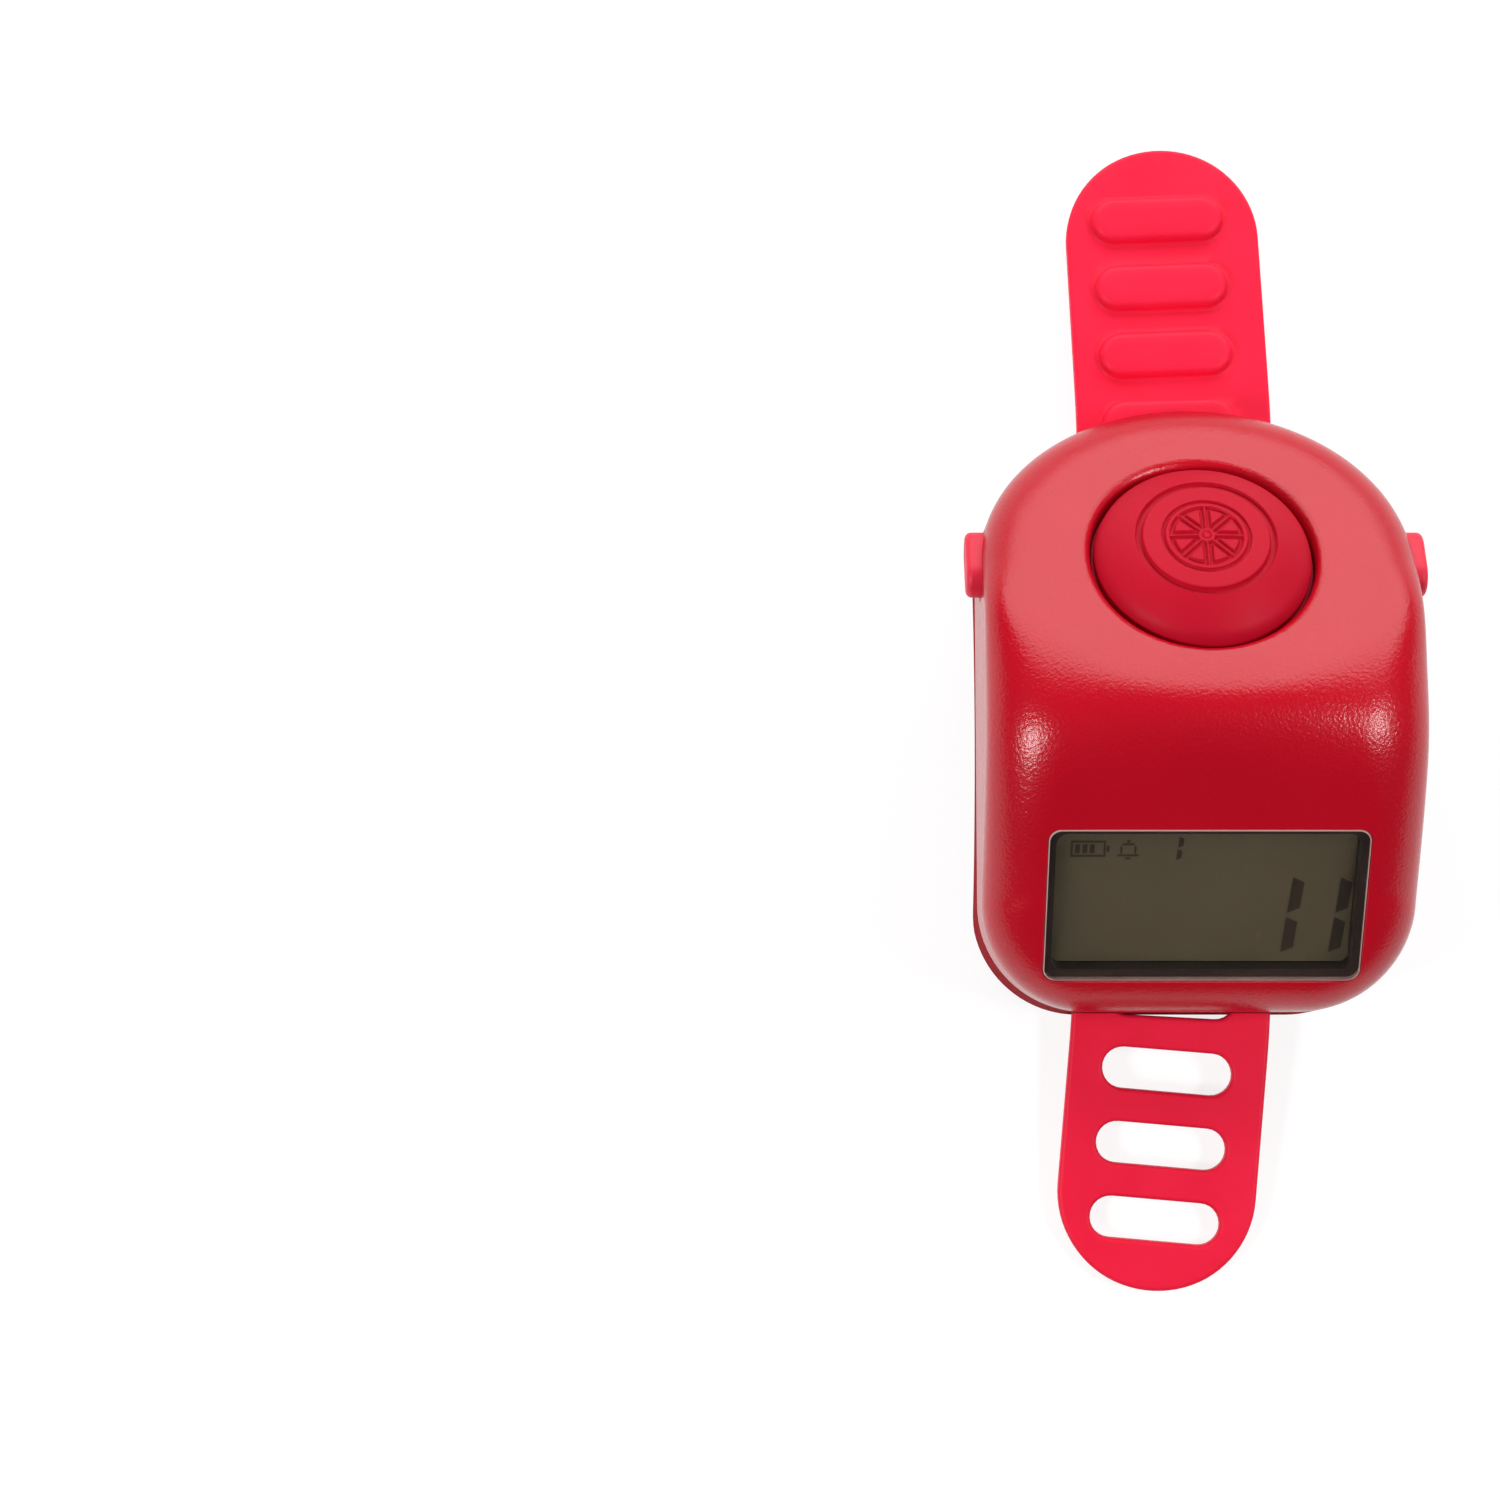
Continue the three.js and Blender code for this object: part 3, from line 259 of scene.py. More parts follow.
@dataclass(frozen=True)
class SiliconeRubber(Finish):
    """Moulded silicone: soft and slightly see-through, with a dusty satin skin."""

    pale: str
    drift_mm: float = 5.0
    skin_mm: float = 0.3
    skin_depth_mm: float = 0.008
    glow_mm: float = 1.2

    def dress(self, skin: Skin) -> None:
        """Add light that spreads under the skin, a faint bloom and a fine relief.

        Args:
            skin: The material's nodes.
        """
        skin.fill({"Base Color": skin.mottle(self.drift_mm, self.colour, self.pale)})
        dust = skin.pattern("ShaderNodeTexNoise", self.skin_mm, {"Detail": 3.0}).outputs["Fac"]
        skin.relief(dust, self.skin_depth_mm)
        skin.spread(dust, self.roughness, change=0.05)
        skin.fill({"IOR": 1.43, "Specular IOR Level": 0.22, "Subsurface Weight": 0.15})
        skin.fill({"Subsurface Radius": (1.0, 0.25, 0.2), "Subsurface Scale": self.glow_mm * MM})


@dataclass(frozen=True)
class ClearAcrylic(Finish):
    """Cast acrylic, polished: clear, with the faintest haze from handling."""

    def dress(self, skin: Skin) -> None:
        """Make it see-through, with light wipe marks in the gloss.

        Args:
            skin: The material's nodes.
        """
        wipes = skin.pattern("ShaderNodeTexNoise", size_mm=3.0, inputs={"Detail": 4.0})
        skin.spread(wipes.outputs["Fac"], self.roughness, change=0.02)
        skin.fill({"IOR": 1.49, "Transmission Weight": 1.0})


@dataclass(frozen=True)
class SawnAcrylic(Finish):
    """The sawn and bevelled edge of an acrylic pane: milky, and coloured pale pinkish all round as a painted
    highlight along the bevel.
    """

    def dress(self, skin: Skin) -> None:
        """Scatter the light a little and score the edge finely.

        Args:
            skin: The material's nodes.
        """
        scores = skin.pattern("ShaderNodeTexNoise", size_mm=0.25, inputs={"Detail": 2.0})
        skin.relief(scores.outputs["Fac"], depth_mm=0.01)
        skin.fill({"IOR": 1.49, "Transmission Weight": 0.3})


@dataclass(frozen=True)
class DisplayFilm(Finish):
    """Reflective liquid-crystal cell under a polariser: dull olive with a faint drift."""

    pale: str
    drift_mm: float = 9.0
    speck: str = "8c8474"
    speck_pitch_mm: float = 2.2
    speck_share: float = 0.03

    def dress(self, skin: Skin) -> None:
        """Add the drift of the reflector behind the cell and a few dust specks under the film.

        Args:
            skin: The material's nodes.
        """
        dust = skin.pattern("ShaderNodeTexVoronoi", self.speck_pitch_mm).outputs["Distance"]
        near = add_node(skin.tree, "ShaderNodeMath", {0: dust, 1: self.speck_share}, operation="LESS_THAN")
        colours = {6: skin.mottle(self.drift_mm, self.colour, self.pale, 2.0), 7: linear_colour(self.speck)}
        inputs = {"Factor": near.outputs[0], **colours}
        mixed = add_node(skin.tree, "ShaderNodeMix", inputs, data_type="RGBA")
        skin.fill({"Base Color": mixed.outputs[2], "IOR": 1.5})


@dataclass(frozen=True)
class PlatedSteel(Finish):
    """Zinc- or nickel-plated steel: bright, with drawn hairlines."""

    hairline_mm: float = 0.08
    hairline_stretch: float = 0.04

    def dress(self, skin: Skin) -> None:
        """Add hairlines along X and the dull patches of thin plating.

        Args:
            skin: The material's nodes.
        """
        inputs = {"Vector": skin.place, "Scale": (self.hairline_stretch, 1.0, 1.0)}
        stretched = add_node(skin.tree, "ShaderNodeMapping", inputs)
        inputs = {"Vector": stretched.outputs[0], "Detail": 2.0}
        lines = skin.pattern("ShaderNodeTexNoise", self.hairline_mm, inputs).outputs["Fac"]
        skin.spread(lines, self.roughness, change=0.08)
        skin.relief(lines, depth_mm=0.002)
        skin.fill({"Metallic": 1.0})


@dataclass(frozen=True)
class SolderMask(Finish):
    """Glass-fibre board under green solder mask, with copper tracks that show as paler lines."""

    track: str = "2f8a4c"
    track_pitch_mm: float = 1.6
    track_level: float = 0.42  # share of a cell's half width where its track begins

    def dress(self, skin: Skin) -> None:
        """Draw tracks as the edges of square-metric cells, raised a little under the mask.

        Args:
            skin: The material's nodes.
        """
        cells = skin.pattern("ShaderNodeTexVoronoi", self.track_pitch_mm, feature="F1", distance="CHEBYCHEV")
        inputs = {0: cells.outputs["Distance"], 1: self.track_level}
        edge = add_node(skin.tree, "ShaderNodeMath", inputs, operation="GREATER_THAN").outputs[0]
        inputs = {"Factor": edge, 6: linear_colour(self.colour), 7: linear_colour(self.track)}
        mixed = add_node(skin.tree, "ShaderNodeMix", inputs, data_type="RGBA")
        skin.fill({"Base Color": mixed.outputs[2]})
        skin.relief(edge, depth_mm=0.03, strength=0.5)


@dataclass(frozen=True)
class DenseFoam(Finish):
    """Closed-cell foam: dull, dark, full of tiny cells."""

    cell_mm: float = 0.18

    def dress(self, skin: Skin) -> None:
        """Press small cells into the surface.

        Args:
            skin: The material's nodes.
        """
        cells = skin.pattern("ShaderNodeTexVoronoi", self.cell_mm).outputs["Distance"]
        skin.relief(cells, depth_mm=0.04)
        skin.spread(cells, self.roughness, change=0.06)


@dataclass(frozen=True)
class LayeredRubber(Finish):
    """Conductive rubber strip: thin black and grey layers side by side."""

    pale: str
    layer_mm: float = 0.1
    wave_period: float = 0.31  # of the wave texture at a scale of 1

    def dress(self, skin: Skin) -> None:
        """Stripe it across X at the pitch of the layers.

        Args:
            skin: The material's nodes.
        """
        wave = skin.pattern("ShaderNodeTexWave", self.layer_mm / self.wave_period, bands_direction="X")
        ramp = add_node(skin.tree, "ShaderNodeValToRGB", {"Fac": wave.outputs["Fac"]})
        for stop, colour in zip(ramp.color_ramp.elements, (self.colour, self.pale)):
            stop.color = linear_colour(colour)
        skin.fill({"Base Color": ramp.outputs["Color"]})


# Red ABS of the casing: satin, so broad lamps give a soft pink haze.
# Its grain is drawn several times coarser than a real mould's, so that it shows at all
SHELL_ABS = MouldedPlastic(
    "abs_red_shell", "af071c", 0.245, "b5091f", grain_mm=0.24, grain_depth_mm=0.038, gloss=0.37
)
# The lower casing: duller, and a darker red as painted shade under the shell's overhang
COVER_ABS_SHADED = MouldedPlastic("abs_red_cover", "940818", 0.75, "9a0a1b", gloss=0.05)
# The count button is moulded matte, so it hardly reflects
BUTTON_ABS = MouldedPlastic("abs_red_button", "b00b23", 0.5, "b60e28", grain_depth_mm=0.01, gloss=0.1)
# Side buttons: a brighter, softer red plastic
SIDE_BUTTON_PLASTIC = MouldedPlastic("soft_plastic_side_button", "da1e3c", 0.5, "e02241", gloss=0.35)
# Strap: bright pinkish red, with light soaking a little way in
STRAP_SILICONE = SiliconeRubber("silicone_red_strap", "e61438", 0.5, "ec1c40")
# Pane: clear, seen by its reflections alone
PANE_ACRYLIC = ClearAcrylic("acrylic_clear_pane", "ffffff", 0.03)
# Sawn rim of the pane: milky, and pale pinkish all round as a painted highlight along the bevel, a thin
# outline round the display
PANE_EDGE_MILK_AND_HIGHLIGHT = SawnAcrylic("acrylic_sawn_edge", "f0c4be", 0.4)
# Dark liner round the display in a warm grey: painted shade, standing for the opening's walls in shadow under
# the pane
SHADE_LINER = MouldedPlastic(
    "smooth_plastic_surround", "3c2e27", 0.34, "43342c", grain_depth_mm=0.004
)
# Unlit display: dull olive brown, with hardly any shine
DISPLAY_CELL = DisplayFilm("liquid_crystal_cell", "6f624a", 0.3, "756850")
# Switched-on crystal: darker than the cell, with low contrast as in a side view
DISPLAY_SEGMENT = DisplayFilm("liquid_crystal_segment", "453629", 0.3, "493a2d")
# Screws: bluish grey with a soft brushed shine
SCREW_STEEL = PlatedSteel("zinc_plated_steel", "b9bcc0", 0.32)
# Coin cell and crystal can: brighter and smoother than the screws
CELL_STEEL = PlatedSteel("nickel_plated_steel", "c9cacc", 0.22, hairline_mm=0.12)
# Battery contacts: warm yellow metal
CONTACT_BRASS = PlatedSteel("spring_brass_strip", "d0b070", 0.3)
# Boards: deep green over paler tracks
BOARD_LAMINATE = SolderMask("solder_mask_green", "14532a", 0.45)
# Switch bodies: near black, satin
BLACK_NYLON = MouldedPlastic("black_nylon", "232326", 0.45, "29292c")
# Plungers, bezel and the small lamp's body: warm white
WHITE_PLASTIC = MouldedPlastic("white_moulded_plastic", "dcd8cc", 0.45, "e2dfd4")
# Backlight plate: milky and smooth
LIGHT_GUIDE = MouldedPlastic("opal_acrylic_light_guide", "eeeee6", 0.3, "f4f4ee", grain_depth_mm=0.003)
# Blob over the controller: glossy black with slow waves
EPOXY = MouldedPlastic("potting_epoxy", "0f0f10", 0.2, "131314", grain_mm=0.9, grain_depth_mm=0.03)
# Ribbon: smooth amber film
POLYIMIDE = MouldedPlastic("polyimide_film", "b8782a", 0.35, "c7842e", grain_depth_mm=0.003)
# Gasket: dull black, full of tiny cells
GASKET_FOAM = DenseFoam("closed_cell_foam", "1c1c1e", 0.85)
# Strips under the glass: fine black and grey layers
STRIP_RUBBER = LayeredRubber("layered_conductive_rubber", "161618", 0.6, "56565a")


def polished_mesh(name: str, vertices: Points, faces: Sequence[Sequence[int]]) -> Piece:
    """Make an object from points in millimetres, with its place in its mesh.

    Args:
        name: The object's name.
        vertices: One row per point.
        faces: Indices of each face's points, anticlockwise seen from outside.

    Returns:
        The new object, linked to the scene.
    """
    mesh = bpy.data.meshes.new(name)
    mesh.from_pydata((np.asarray(vertices, float) * MM).tolist(), [], [list(f) for f in faces])
    mesh.validate()
    piece = bpy.data.objects.new(name, mesh)
    bpy.context.scene.collection.objects.link(piece)
    return piece


def evaluated(piece: Piece) -> Piece:
    """Bake an object's modifiers into its mesh and remove them.

    Args:
        piece: The object with live modifiers.

    Returns:
        The same object with a plain mesh.
    """
    graph = bpy.context.evaluated_depsgraph_get()
    graph.update()
    mesh = bpy.data.meshes.new_from_object(piece.evaluated_get(graph))
    piece.modifiers.clear()
    old = piece.data
    piece.data = mesh
    mesh.name = piece.name
    bpy.data.meshes.remove(old)
    return piece


def combine(piece: Piece, tool: Piece, how: Join) -> Piece:
    """Join, cut or trim a closed solid with another, which is used up.

    Args:
        piece: The solid that stays.
        tool: The solid that is used up.
        how: What is done with it.

    Returns:
        The solid that stays.
    """
    modifier = piece.modifiers.new("combine", "BOOLEAN")
    modifier.operation = how.value
    modifier.solver = "MANIFOLD"
    modifier.object = tool
    evaluated(piece)
    bpy.data.objects.remove(tool)
    return piece


def smooth(piece: Piece, crease: float = 28.0) -> Piece:
    """Shade a piece smooth between its creases, with broad faces kept flat.

    Args:
        piece: The piece.
        crease: Angle in degrees past which an edge stays sharp.

    Returns:
        The same piece.
    """
    piece.data.shade_smooth()
    piece.data.set_sharp_from_angle(angle=math.radians(crease))
    modifier = piece.modifiers.new("weighted", "WEIGHTED_NORMAL")
    modifier.keep_sharp = True
    modifier.mode = "FACE_AREA"
    return evaluated(piece)


def finish_piece(piece: Piece, finish: Finish, body: str, nodes: Sequence[str] = ()) -> Piece:
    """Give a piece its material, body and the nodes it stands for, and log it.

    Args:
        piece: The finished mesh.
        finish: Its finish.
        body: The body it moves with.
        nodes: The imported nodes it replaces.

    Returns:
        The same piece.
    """
    piece.data.materials.clear()
    piece.data.materials.append(finish.material())
    for polygon in piece.data.polygons:
        polygon.material_index = 0
    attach(piece, body)
    if nodes:
        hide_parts(*nodes)
    log.info("%s: %d faces on %s", piece.name, len(piece.data.polygons), body)
    return piece


def ring_faces(count: int, rings: int, first: int = 0, flip: bool = False) -> list[Sequence[int]]:
    """List the faces between a stack of rings of points.

    Args:
        count: Points on each ring.
        rings: How many rings there are.
        first: Index of the first ring's first point.
        flip: Whether the faces look to the other side.

    Returns:
        One face for each side of each gap between rings.
    """
    faces: list[Sequence[int]] = []
    for low in range(first, first + (rings - 1) * count, count):
        for i in range(count):
            j = (i + 1) % count
            foot, head = (low + i, low + j), (low + count + j, low + count + i)
            faces.append((foot[0], *reversed(head), foot[1]) if flip else foot + head)
    return faces


def loft(name: str, rings: Sequence[Points], place: Place = np.asarray) -> Piece:
    """Close a stack of rings with equal point counts into a solid.

    Args:
        name: The object's name.
        rings: Rings from the bottom up, each anticlockwise seen from above its stack.
        place: Moves the points to where they belong.

    Returns:
        The solid as an object.
    """
    count = len(rings[0])
    top = (len(rings) - 1) * count
    ends = [range(count - 1, -1, -1), range(top, top + count)]
    return polished_mesh(name, place(np.concatenate(rings)), ring_faces(count, len(rings)) + ends)


def turned(name: str, profile: Profile, sides: int, place: Place) -> Piece:
    """Turn a profile about its Z axis into a closed solid.

    Args:
        name: The object's name.
        profile: Radius and height from the bottom up; the ends may lie on the axis.
        sides: Faces round the axis.
        place: Moves the turned points to where they belong.

    Returns:
        The solid as an object.
    """
    angles = np.linspace(0, 2 * math.pi, sides, endpoint=False)
    vertices: list[Points] = []
    faces: list[Sequence[int]] = []
    rows: list[list[int]] = []
    for radius, height in profile:
        start = len(vertices)
        if radius == 0:
            vertices.append(np.array([0.0, 0.0, height]))
            rows.append([start] * sides)
            continue
        vertices.extend(np.array([radius * math.cos(a), radius * math.sin(a), height]) for a in angles)
        rows.append(list(range(start, start + sides)))
    for low, high in zip(rows, rows[1:]):
        for i in range(sides):
            j = (i + 1) % sides
            corners = list(dict.fromkeys((low[i], low[j], high[j], high[i])))
            if len(corners) > 2:
                faces.append(corners)
    if profile[0][0]:
        faces.append(list(reversed(rows[0])))
    if profile[-1][0]:
        faces.append(rows[-1])
    return polished_mesh(name, place(np.array(vertices)), faces)


def quarter_round(radius: float, steps: int = 5) -> list[tuple[float, float]]:
    """Return inset and drop along a rounded edge, from the wall to the flat face."""
    turns = np.linspace(0, math.pi / 2, steps + 1)
    return [(radius * (1 - math.cos(a)), radius * (1 - math.sin(a))) for a in turns]


def capsule_ring(length: float, width: float, z: float, steps: int = 16) -> Points:
    """Draw a ring with straight sides along X and half-round ends.

    Args:
        length: Length along X.
        width: Width.
        z: Its height.
        steps: Points on each half round.

    Returns:
        The ring, anticlockwise.
    """
    radius = width / 2
    straight = length / 2 - radius
    turns = np.linspace(-math.pi / 2, math.pi / 2, steps)
    right = [(straight + radius * math.cos(a), radius * math.sin(a)) for a in turns]
    left = [(-x, -y) for x, y in right]
    return np.array([(x, y, z) for x, y in right + left])


def rectangle_ring(width: float, height: float, corner: float, z: float, steps: int = 8) -> Points:
    """Draw a ring round a rectangle with rounded corners.

    Args:
        width: Size along X.
        height: Size along Y.
        corner: Radius of the corners.
        z: Its height.
        steps: Points on each corner.

    Returns:
        The ring, anticlockwise.
    """
    points = []
    for cx, cy, start in ((1, 1, 0), (-1, 1, 1), (-1, -1, 2), (1, -1, 3)):
        for a in np.linspace(start * math.pi / 2, (start + 1) * math.pi / 2, steps):
            x = cx * (width / 2 - corner) + corner * math.cos(a)
            y = cy * (height / 2 - corner) + corner * math.sin(a)
            points.append((x, y, z))
    return np.array(points)


@dataclass(frozen=True)
class TiltedFace:
    """A face of the body tilted about X, with pieces laid out in its own x, y and z."""

    y: float
    z: float
    tilt: float
    lead: float = 0.82

    def place(self, points: Points) -> Points:
        """Move points from the face's own axes to the model's.

        Args:
            points: One row per point.

        Returns:
            The moved points.
        """
        turn = math.radians(self.tilt)
        x, y, z = np.asarray(points, float).T
        along = self.y - self.lead + y * math.cos(turn) - z * math.sin(turn)
        return np.stack([x, along, self.z + y * math.sin(turn) + z * math.cos(turn)], 1)

    def turn(self, points: Points) -> Points:
        """Turn points as the face is turned, about the origin."""
        return self.place(points) - self.place(np.zeros((1, 3)))


FRONT_FACE = TiltedFace(-15.1, 15.39, 32.8)
TOP_FACE = TiltedFace(10.0, 17.0, -27.9)


def level(points: Points) -> Points:
    """Move points from the body's own axes to the model's."""
    return np.asarray(points, float) + np.array([0.0, -TOP_FACE.lead, 0.0])


@dataclass(frozen=True)
class BodyForm:
    """The moulded body's outer form: its outline in plan and the surface over it."""

    width: float = 31.2
    length: float = 44.4
    rear_depth: float = 12.4
    front_corner: float = 7.8
    ridge_softness: float = 1.4
    edge_radius: float = 4.5
    tightening: float = 2.2
    tightest_y: float = 6.5
    tightening_reach: float = 4.5
    shoulder_run: float = 2.0
    shoulder_y: float = -2.5
    shoulder_reach: float = 5.0
    brow_radius: float = 16.7
    brow_y: float = 16.6
    brow_reach: float = 4.0
    brow_slope: float = 0.5
    arch_steps: int = 56
    side_steps: int = 70
    corner_steps: int = 22
    cross_steps: int = 40
    arc_steps: int = 14

    def surface(self, x: Points, y: Points) -> Points:
        """Find the height of the two faces, with the top face's curved front edge between them.

        Args:
            x: Places along X.
            y: Places along Y.

        Returns:
            The heights.
        """
        beyond = np.maximum(0, np.hypot(x, y - self.brow_y) - self.brow_radius)
        rolloff = self.brow_slope * self.brow_reach * (np.hypot(1, beyond / self.brow_reach) - 1)
        top = TOP_FACE.z + math.tan(math.radians(-TOP_FACE.tilt)) * (TOP_FACE.y - y) - rolloff
        front = FRONT_FACE.z + math.tan(math.radians(FRONT_FACE.tilt)) * (y - FRONT_FACE.y)
        spread = np.abs(top - front) / self.ridge_softness
        return np.minimum(top, front) - self.ridge_softness * np.log1p(np.exp(-spread))

    def edge_height(self, y: Points) -> Points:
        """Return the height of the rounded edge, which tightens beside the side buttons."""
        nearness = np.exp(-(((y - self.tightest_y) / self.tightening_reach) ** 2))
        return self.edge_radius - self.tightening * nearness

    def edge_width(self, y: Points) -> Points:
        """Return the width of the rounded edge, which grows at the ends of the ridge."""
        swell = np.exp(-(((y - self.shoulder_y) / self.shoulder_reach) ** 2))
        return self.edge_height(y) + self.shoulder_run * swell

    def outline(self, inset: float) -> tuple[Points, Points]:
        """Draw the plan outline, clockwise from the middle of the rear.

        Args:
            inset: Distance drawn in from the outer wall.

        Returns:
            Points and outward directions, one row each.
        """
        half = self.width / 2
        arch_y = self.length / 2 - self.rear_depth
        corner_y = -self.length / 2 + self.front_corner
        places, normals = [], []
        for angle in np.linspace(math.pi / 2, 0, self.arch_steps + 1):
            normal = np.array([math.cos(angle) / half, math.sin(angle) / self.rear_depth])
            normal /= np.linalg.norm(normal)
            places.append((half * math.cos(angle), arch_y + self.rear_depth * math.sin(angle)))
            normals.append(normal)
        for y in np.linspace(arch_y, corner_y, self.side_steps + 1)[1:-1]:
            places.append((half, y))
            normals.append((1.0, 0.0))
        for angle in np.linspace(0, -math.pi / 2, self.corner_steps + 1):
            normal = (math.cos(angle), math.sin(angle))
            radius = self.front_corner
            places.append((half - radius + radius * normal[0], corner_y + radius * normal[1]))
            normals.append(normal)
        right, right_normals = np.array(places), np.array(normals)
        end = half - self.front_corner
        across = np.linspace(end, -end, self.cross_steps + 1)[1:-1]
        front = np.stack([across, np.full_like(across, -self.length / 2)], 1)
        front_normals = np.tile((0.0, -1.0), (len(across), 1))
        mirror = np.array([-1.0, 1.0])
        outline = np.concatenate([right, front, right[:0:-1] * mirror])
        directions = np.concatenate([right_normals, front_normals, right_normals[:0:-1] * mirror])
        return outline - inset * directions, directions

    def wall_ring(self, inset: float, z: float) -> Points:
        """Return the outline at one inset and height, anticlockwise."""
        points, _ = self.outline(inset)
        return np.column_stack([points, np.full(len(points), z)])[::-1]

    def solid(self, name: str, inset: float, drop: float, foot: Profile) -> Piece:
        """Build the closed form under the body's surface.

        Args:
            name: The object's name.
            inset: Distance in from the outer walls.
            drop: Distance below the outer surface.
            foot: Further inset and height of each ring up the wall.

        Returns:
            The solid as an object.
        """
        points, normals = self.outline(inset)
        rings = []
        for more, z in foot:
            ring, _ = self.outline(inset + more)
            rings.append(np.column_stack([ring, np.full(len(ring), z)]))
        width = self.edge_width(points[:, 1]) - inset
        height = self.edge_height(points[:, 1]) - inset
        within = points - normals * width[:, None]
        rise = self.surface(*within.T) - self.surface(*points.T)
        sweep = np.arctan2(height, rise)
        rim = points - normals * (width * (1 - np.cos(sweep)))[:, None]
        centre = self.surface(*rim.T) - drop - height * np.sin(sweep)
        for share in np.linspace(0, 1, self.arc_steps + 1):
            inward = width * (1 - np.cos(sweep * share))
            z = centre + height * np.sin(sweep * share)
            rings.append(np.column_stack([points - normals * inward[:, None], z]))
        return self._close(name, rings, drop)

    def _close(self, name: str, rings: list[Points], drop: float) -> Piece:
        """Close rings with a flat foot and rows of points across the top.

        Args:
            name: The object's name.
            rings: Rings from the foot up.
            drop: Distance below the outer surface.

        Returns:
            The solid as an object.
        """
        count, last = len(rings[0]), len(rings) - 1
        faces = [*ring_faces(count, len(rings), flip=True), range(count)]
        vertices = [p for ring in rings for p in ring]
        rows = self.arch_steps + self.side_steps + self.corner_steps
        top = last * count
        previous: list[int] | None = None
        for i in range(1, rows + 1):
            right, left = top + i, top + count - i
            if i < rows:
                line = [right]
                for share in np.linspace(0, 1, self.cross_steps + 1)[1:-1]:
                    line.append(len(vertices))
                    place = vertices[right] * (1 - share) + vertices[left] * share
                    place[2] = self.surface(place[0], place[1]) - drop
                    vertices.append(place)
                line.append(left)
            else:
                line = list(range(right, left + 1))
            if previous is None:
                faces.extend((top, b, a) for a, b in zip(line, line[1:]))
            else:
                pairs = zip(previous, previous[1:], line, line[1:])
                faces.extend((a, b, d, c) for a, b, c, d in pairs)
            previous = line
        return polished_mesh(name, level(np.array(vertices)), faces)


BODY_FORM = BodyForm()


@dataclass(frozen=True)
class WindowForm:
    """The window's rounded rectangle, shared by the shell's opening and the display."""

    width: float = 22.75
    height: float = 12.26
    corner: float = 0.9
    ledge_width: float = 0.5

    def size(self, inset: float) -> tuple[float, float]:
        """Return the width and height, drawn in all round."""
        return self.width - 2 * inset, self.height - 2 * inset


@dataclass
class UpperShell:
    """The casing's upper half, with the button hole, the window pocket and two side holes."""

    form: BodyForm = BODY_FORM
    wall: float = 1.5
    parting: float = 6.4
    parting_chamfer: float = 0.18
    hole_radius: float = 8.02
    hole_lip: float = 0.75
    window: WindowForm = WindowForm()
    window_lip: float = 0.06
    ledge_top: float = -1.18
    ledge_bottom: float = -2.08
    frame_margin: float = 1.0
    frame_inset: float = 0.5
    lip_step: float = 0.03
    lip_turn: float = 82.0
    mouth_rise: float = 0.6
    cut_reach: float = 4.0
    side_hole_gap: float = 0.2

    def build(self) -> Piece:
        """Build and dress the shell.

        Returns:
            The finished piece.
        """
        chamfer = self.parting_chamfer
        foot = [(chamfer, self.parting), (0.0, self.parting + chamfer)]
        shell = self.form.solid("case_shell", 0.0, 0.0, foot)
        inner_drop = self.wall / math.cos(math.radians(FRONT_FACE.tilt))
        inside = self.form.solid("inside", self.wall, inner_drop, [(0.0, self.parting - 1)])
        combine(shell, inside, Join.CUT)
        combine(shell, self._window_frame(), Join.ADD)
        combine(shell, self._window_pocket(), Join.CUT)
        combine(shell, self._window_opening(), Join.CUT)
        combine(shell, self._button_hole(), Join.CUT)
        for side in Side:
            combine(shell, SideButton(side).hole(self.side_hole_gap), Join.CUT)
        smooth(shell)
        return finish_piece(shell, SHELL_ABS, CASE, ["upper_shell"])

    def _window_frame(self) -> Piece:
        """Build the thicker wall round the window, trimmed to the body's form.

        Returns:
            The wall as a block.
        """
        size, levels = self.window.size(-self.frame_margin), (self.ledge_bottom, -self.wall / 2)
        rings = [rectangle_ring(*size, self.window.corner, z) for z in levels]
        limit = self.form.solid("limit", self.frame_inset, self.frame_inset, [(0.0, 0.0)])
        return combine(loft("window_frame", rings, FRONT_FACE.place), limit, Join.KEEP)

    def _window_pocket(self) -> Piece:
        """Build the cutter for the pane's pocket, flared at its mouth.

        Returns:
            The cutter.
        """
        lip, step = self.window_lip, self.lip_step
        flare = [(0.0, self.ledge_top), (0.0, -lip), (0.4 * lip, -step), (lip, step), (lip, self.cut_reach)]
        form = self.window
        rings = [rectangle_ring(*form.size(-grow), form.corner + grow, z) for grow, z in flare]
        return loft("pocket", rings, FRONT_FACE.place)

    def _window_opening(self) -> Piece:
        """Build the cutter for the opening through the ledge.

        Returns:
            The cutter.
        """
        size = self.window.size(self.window.ledge_width)
        rings = [rectangle_ring(*size, self.window.corner, z) for z in (self.ledge_bottom - 1, 1.0)]
        return loft("opening", rings, FRONT_FACE.place)

    def _button_hole(self) -> Piece:
        """Build the cutter for the button's hole, with a rounded lip.

        Returns:
            The cutter.
        """
        radius, lip, reach = self.hole_radius, self.hole_lip, self.cut_reach
        profile = [(0.0, -reach), (radius, -reach), (radius, -lip)]
        for a in np.linspace(0, math.radians(self.lip_turn), 8)[1:]:
            profile.append((radius + lip * (1 - math.cos(a)), lip * (math.sin(a) - 1)))
        profile += [(radius + lip, self.mouth_rise), (radius + lip, reach), (0.0, reach)]
        return turned("hole", profile, sides=160, place=TOP_FACE.place)


# Widening and place of a side hole along its depth, from the inside out
SIDE_HOLE_FLARE = ((0.0, -3.0), (0.0, -0.25), (0.08, -0.08), (0.25, 0.02), (0.25, 1.0))


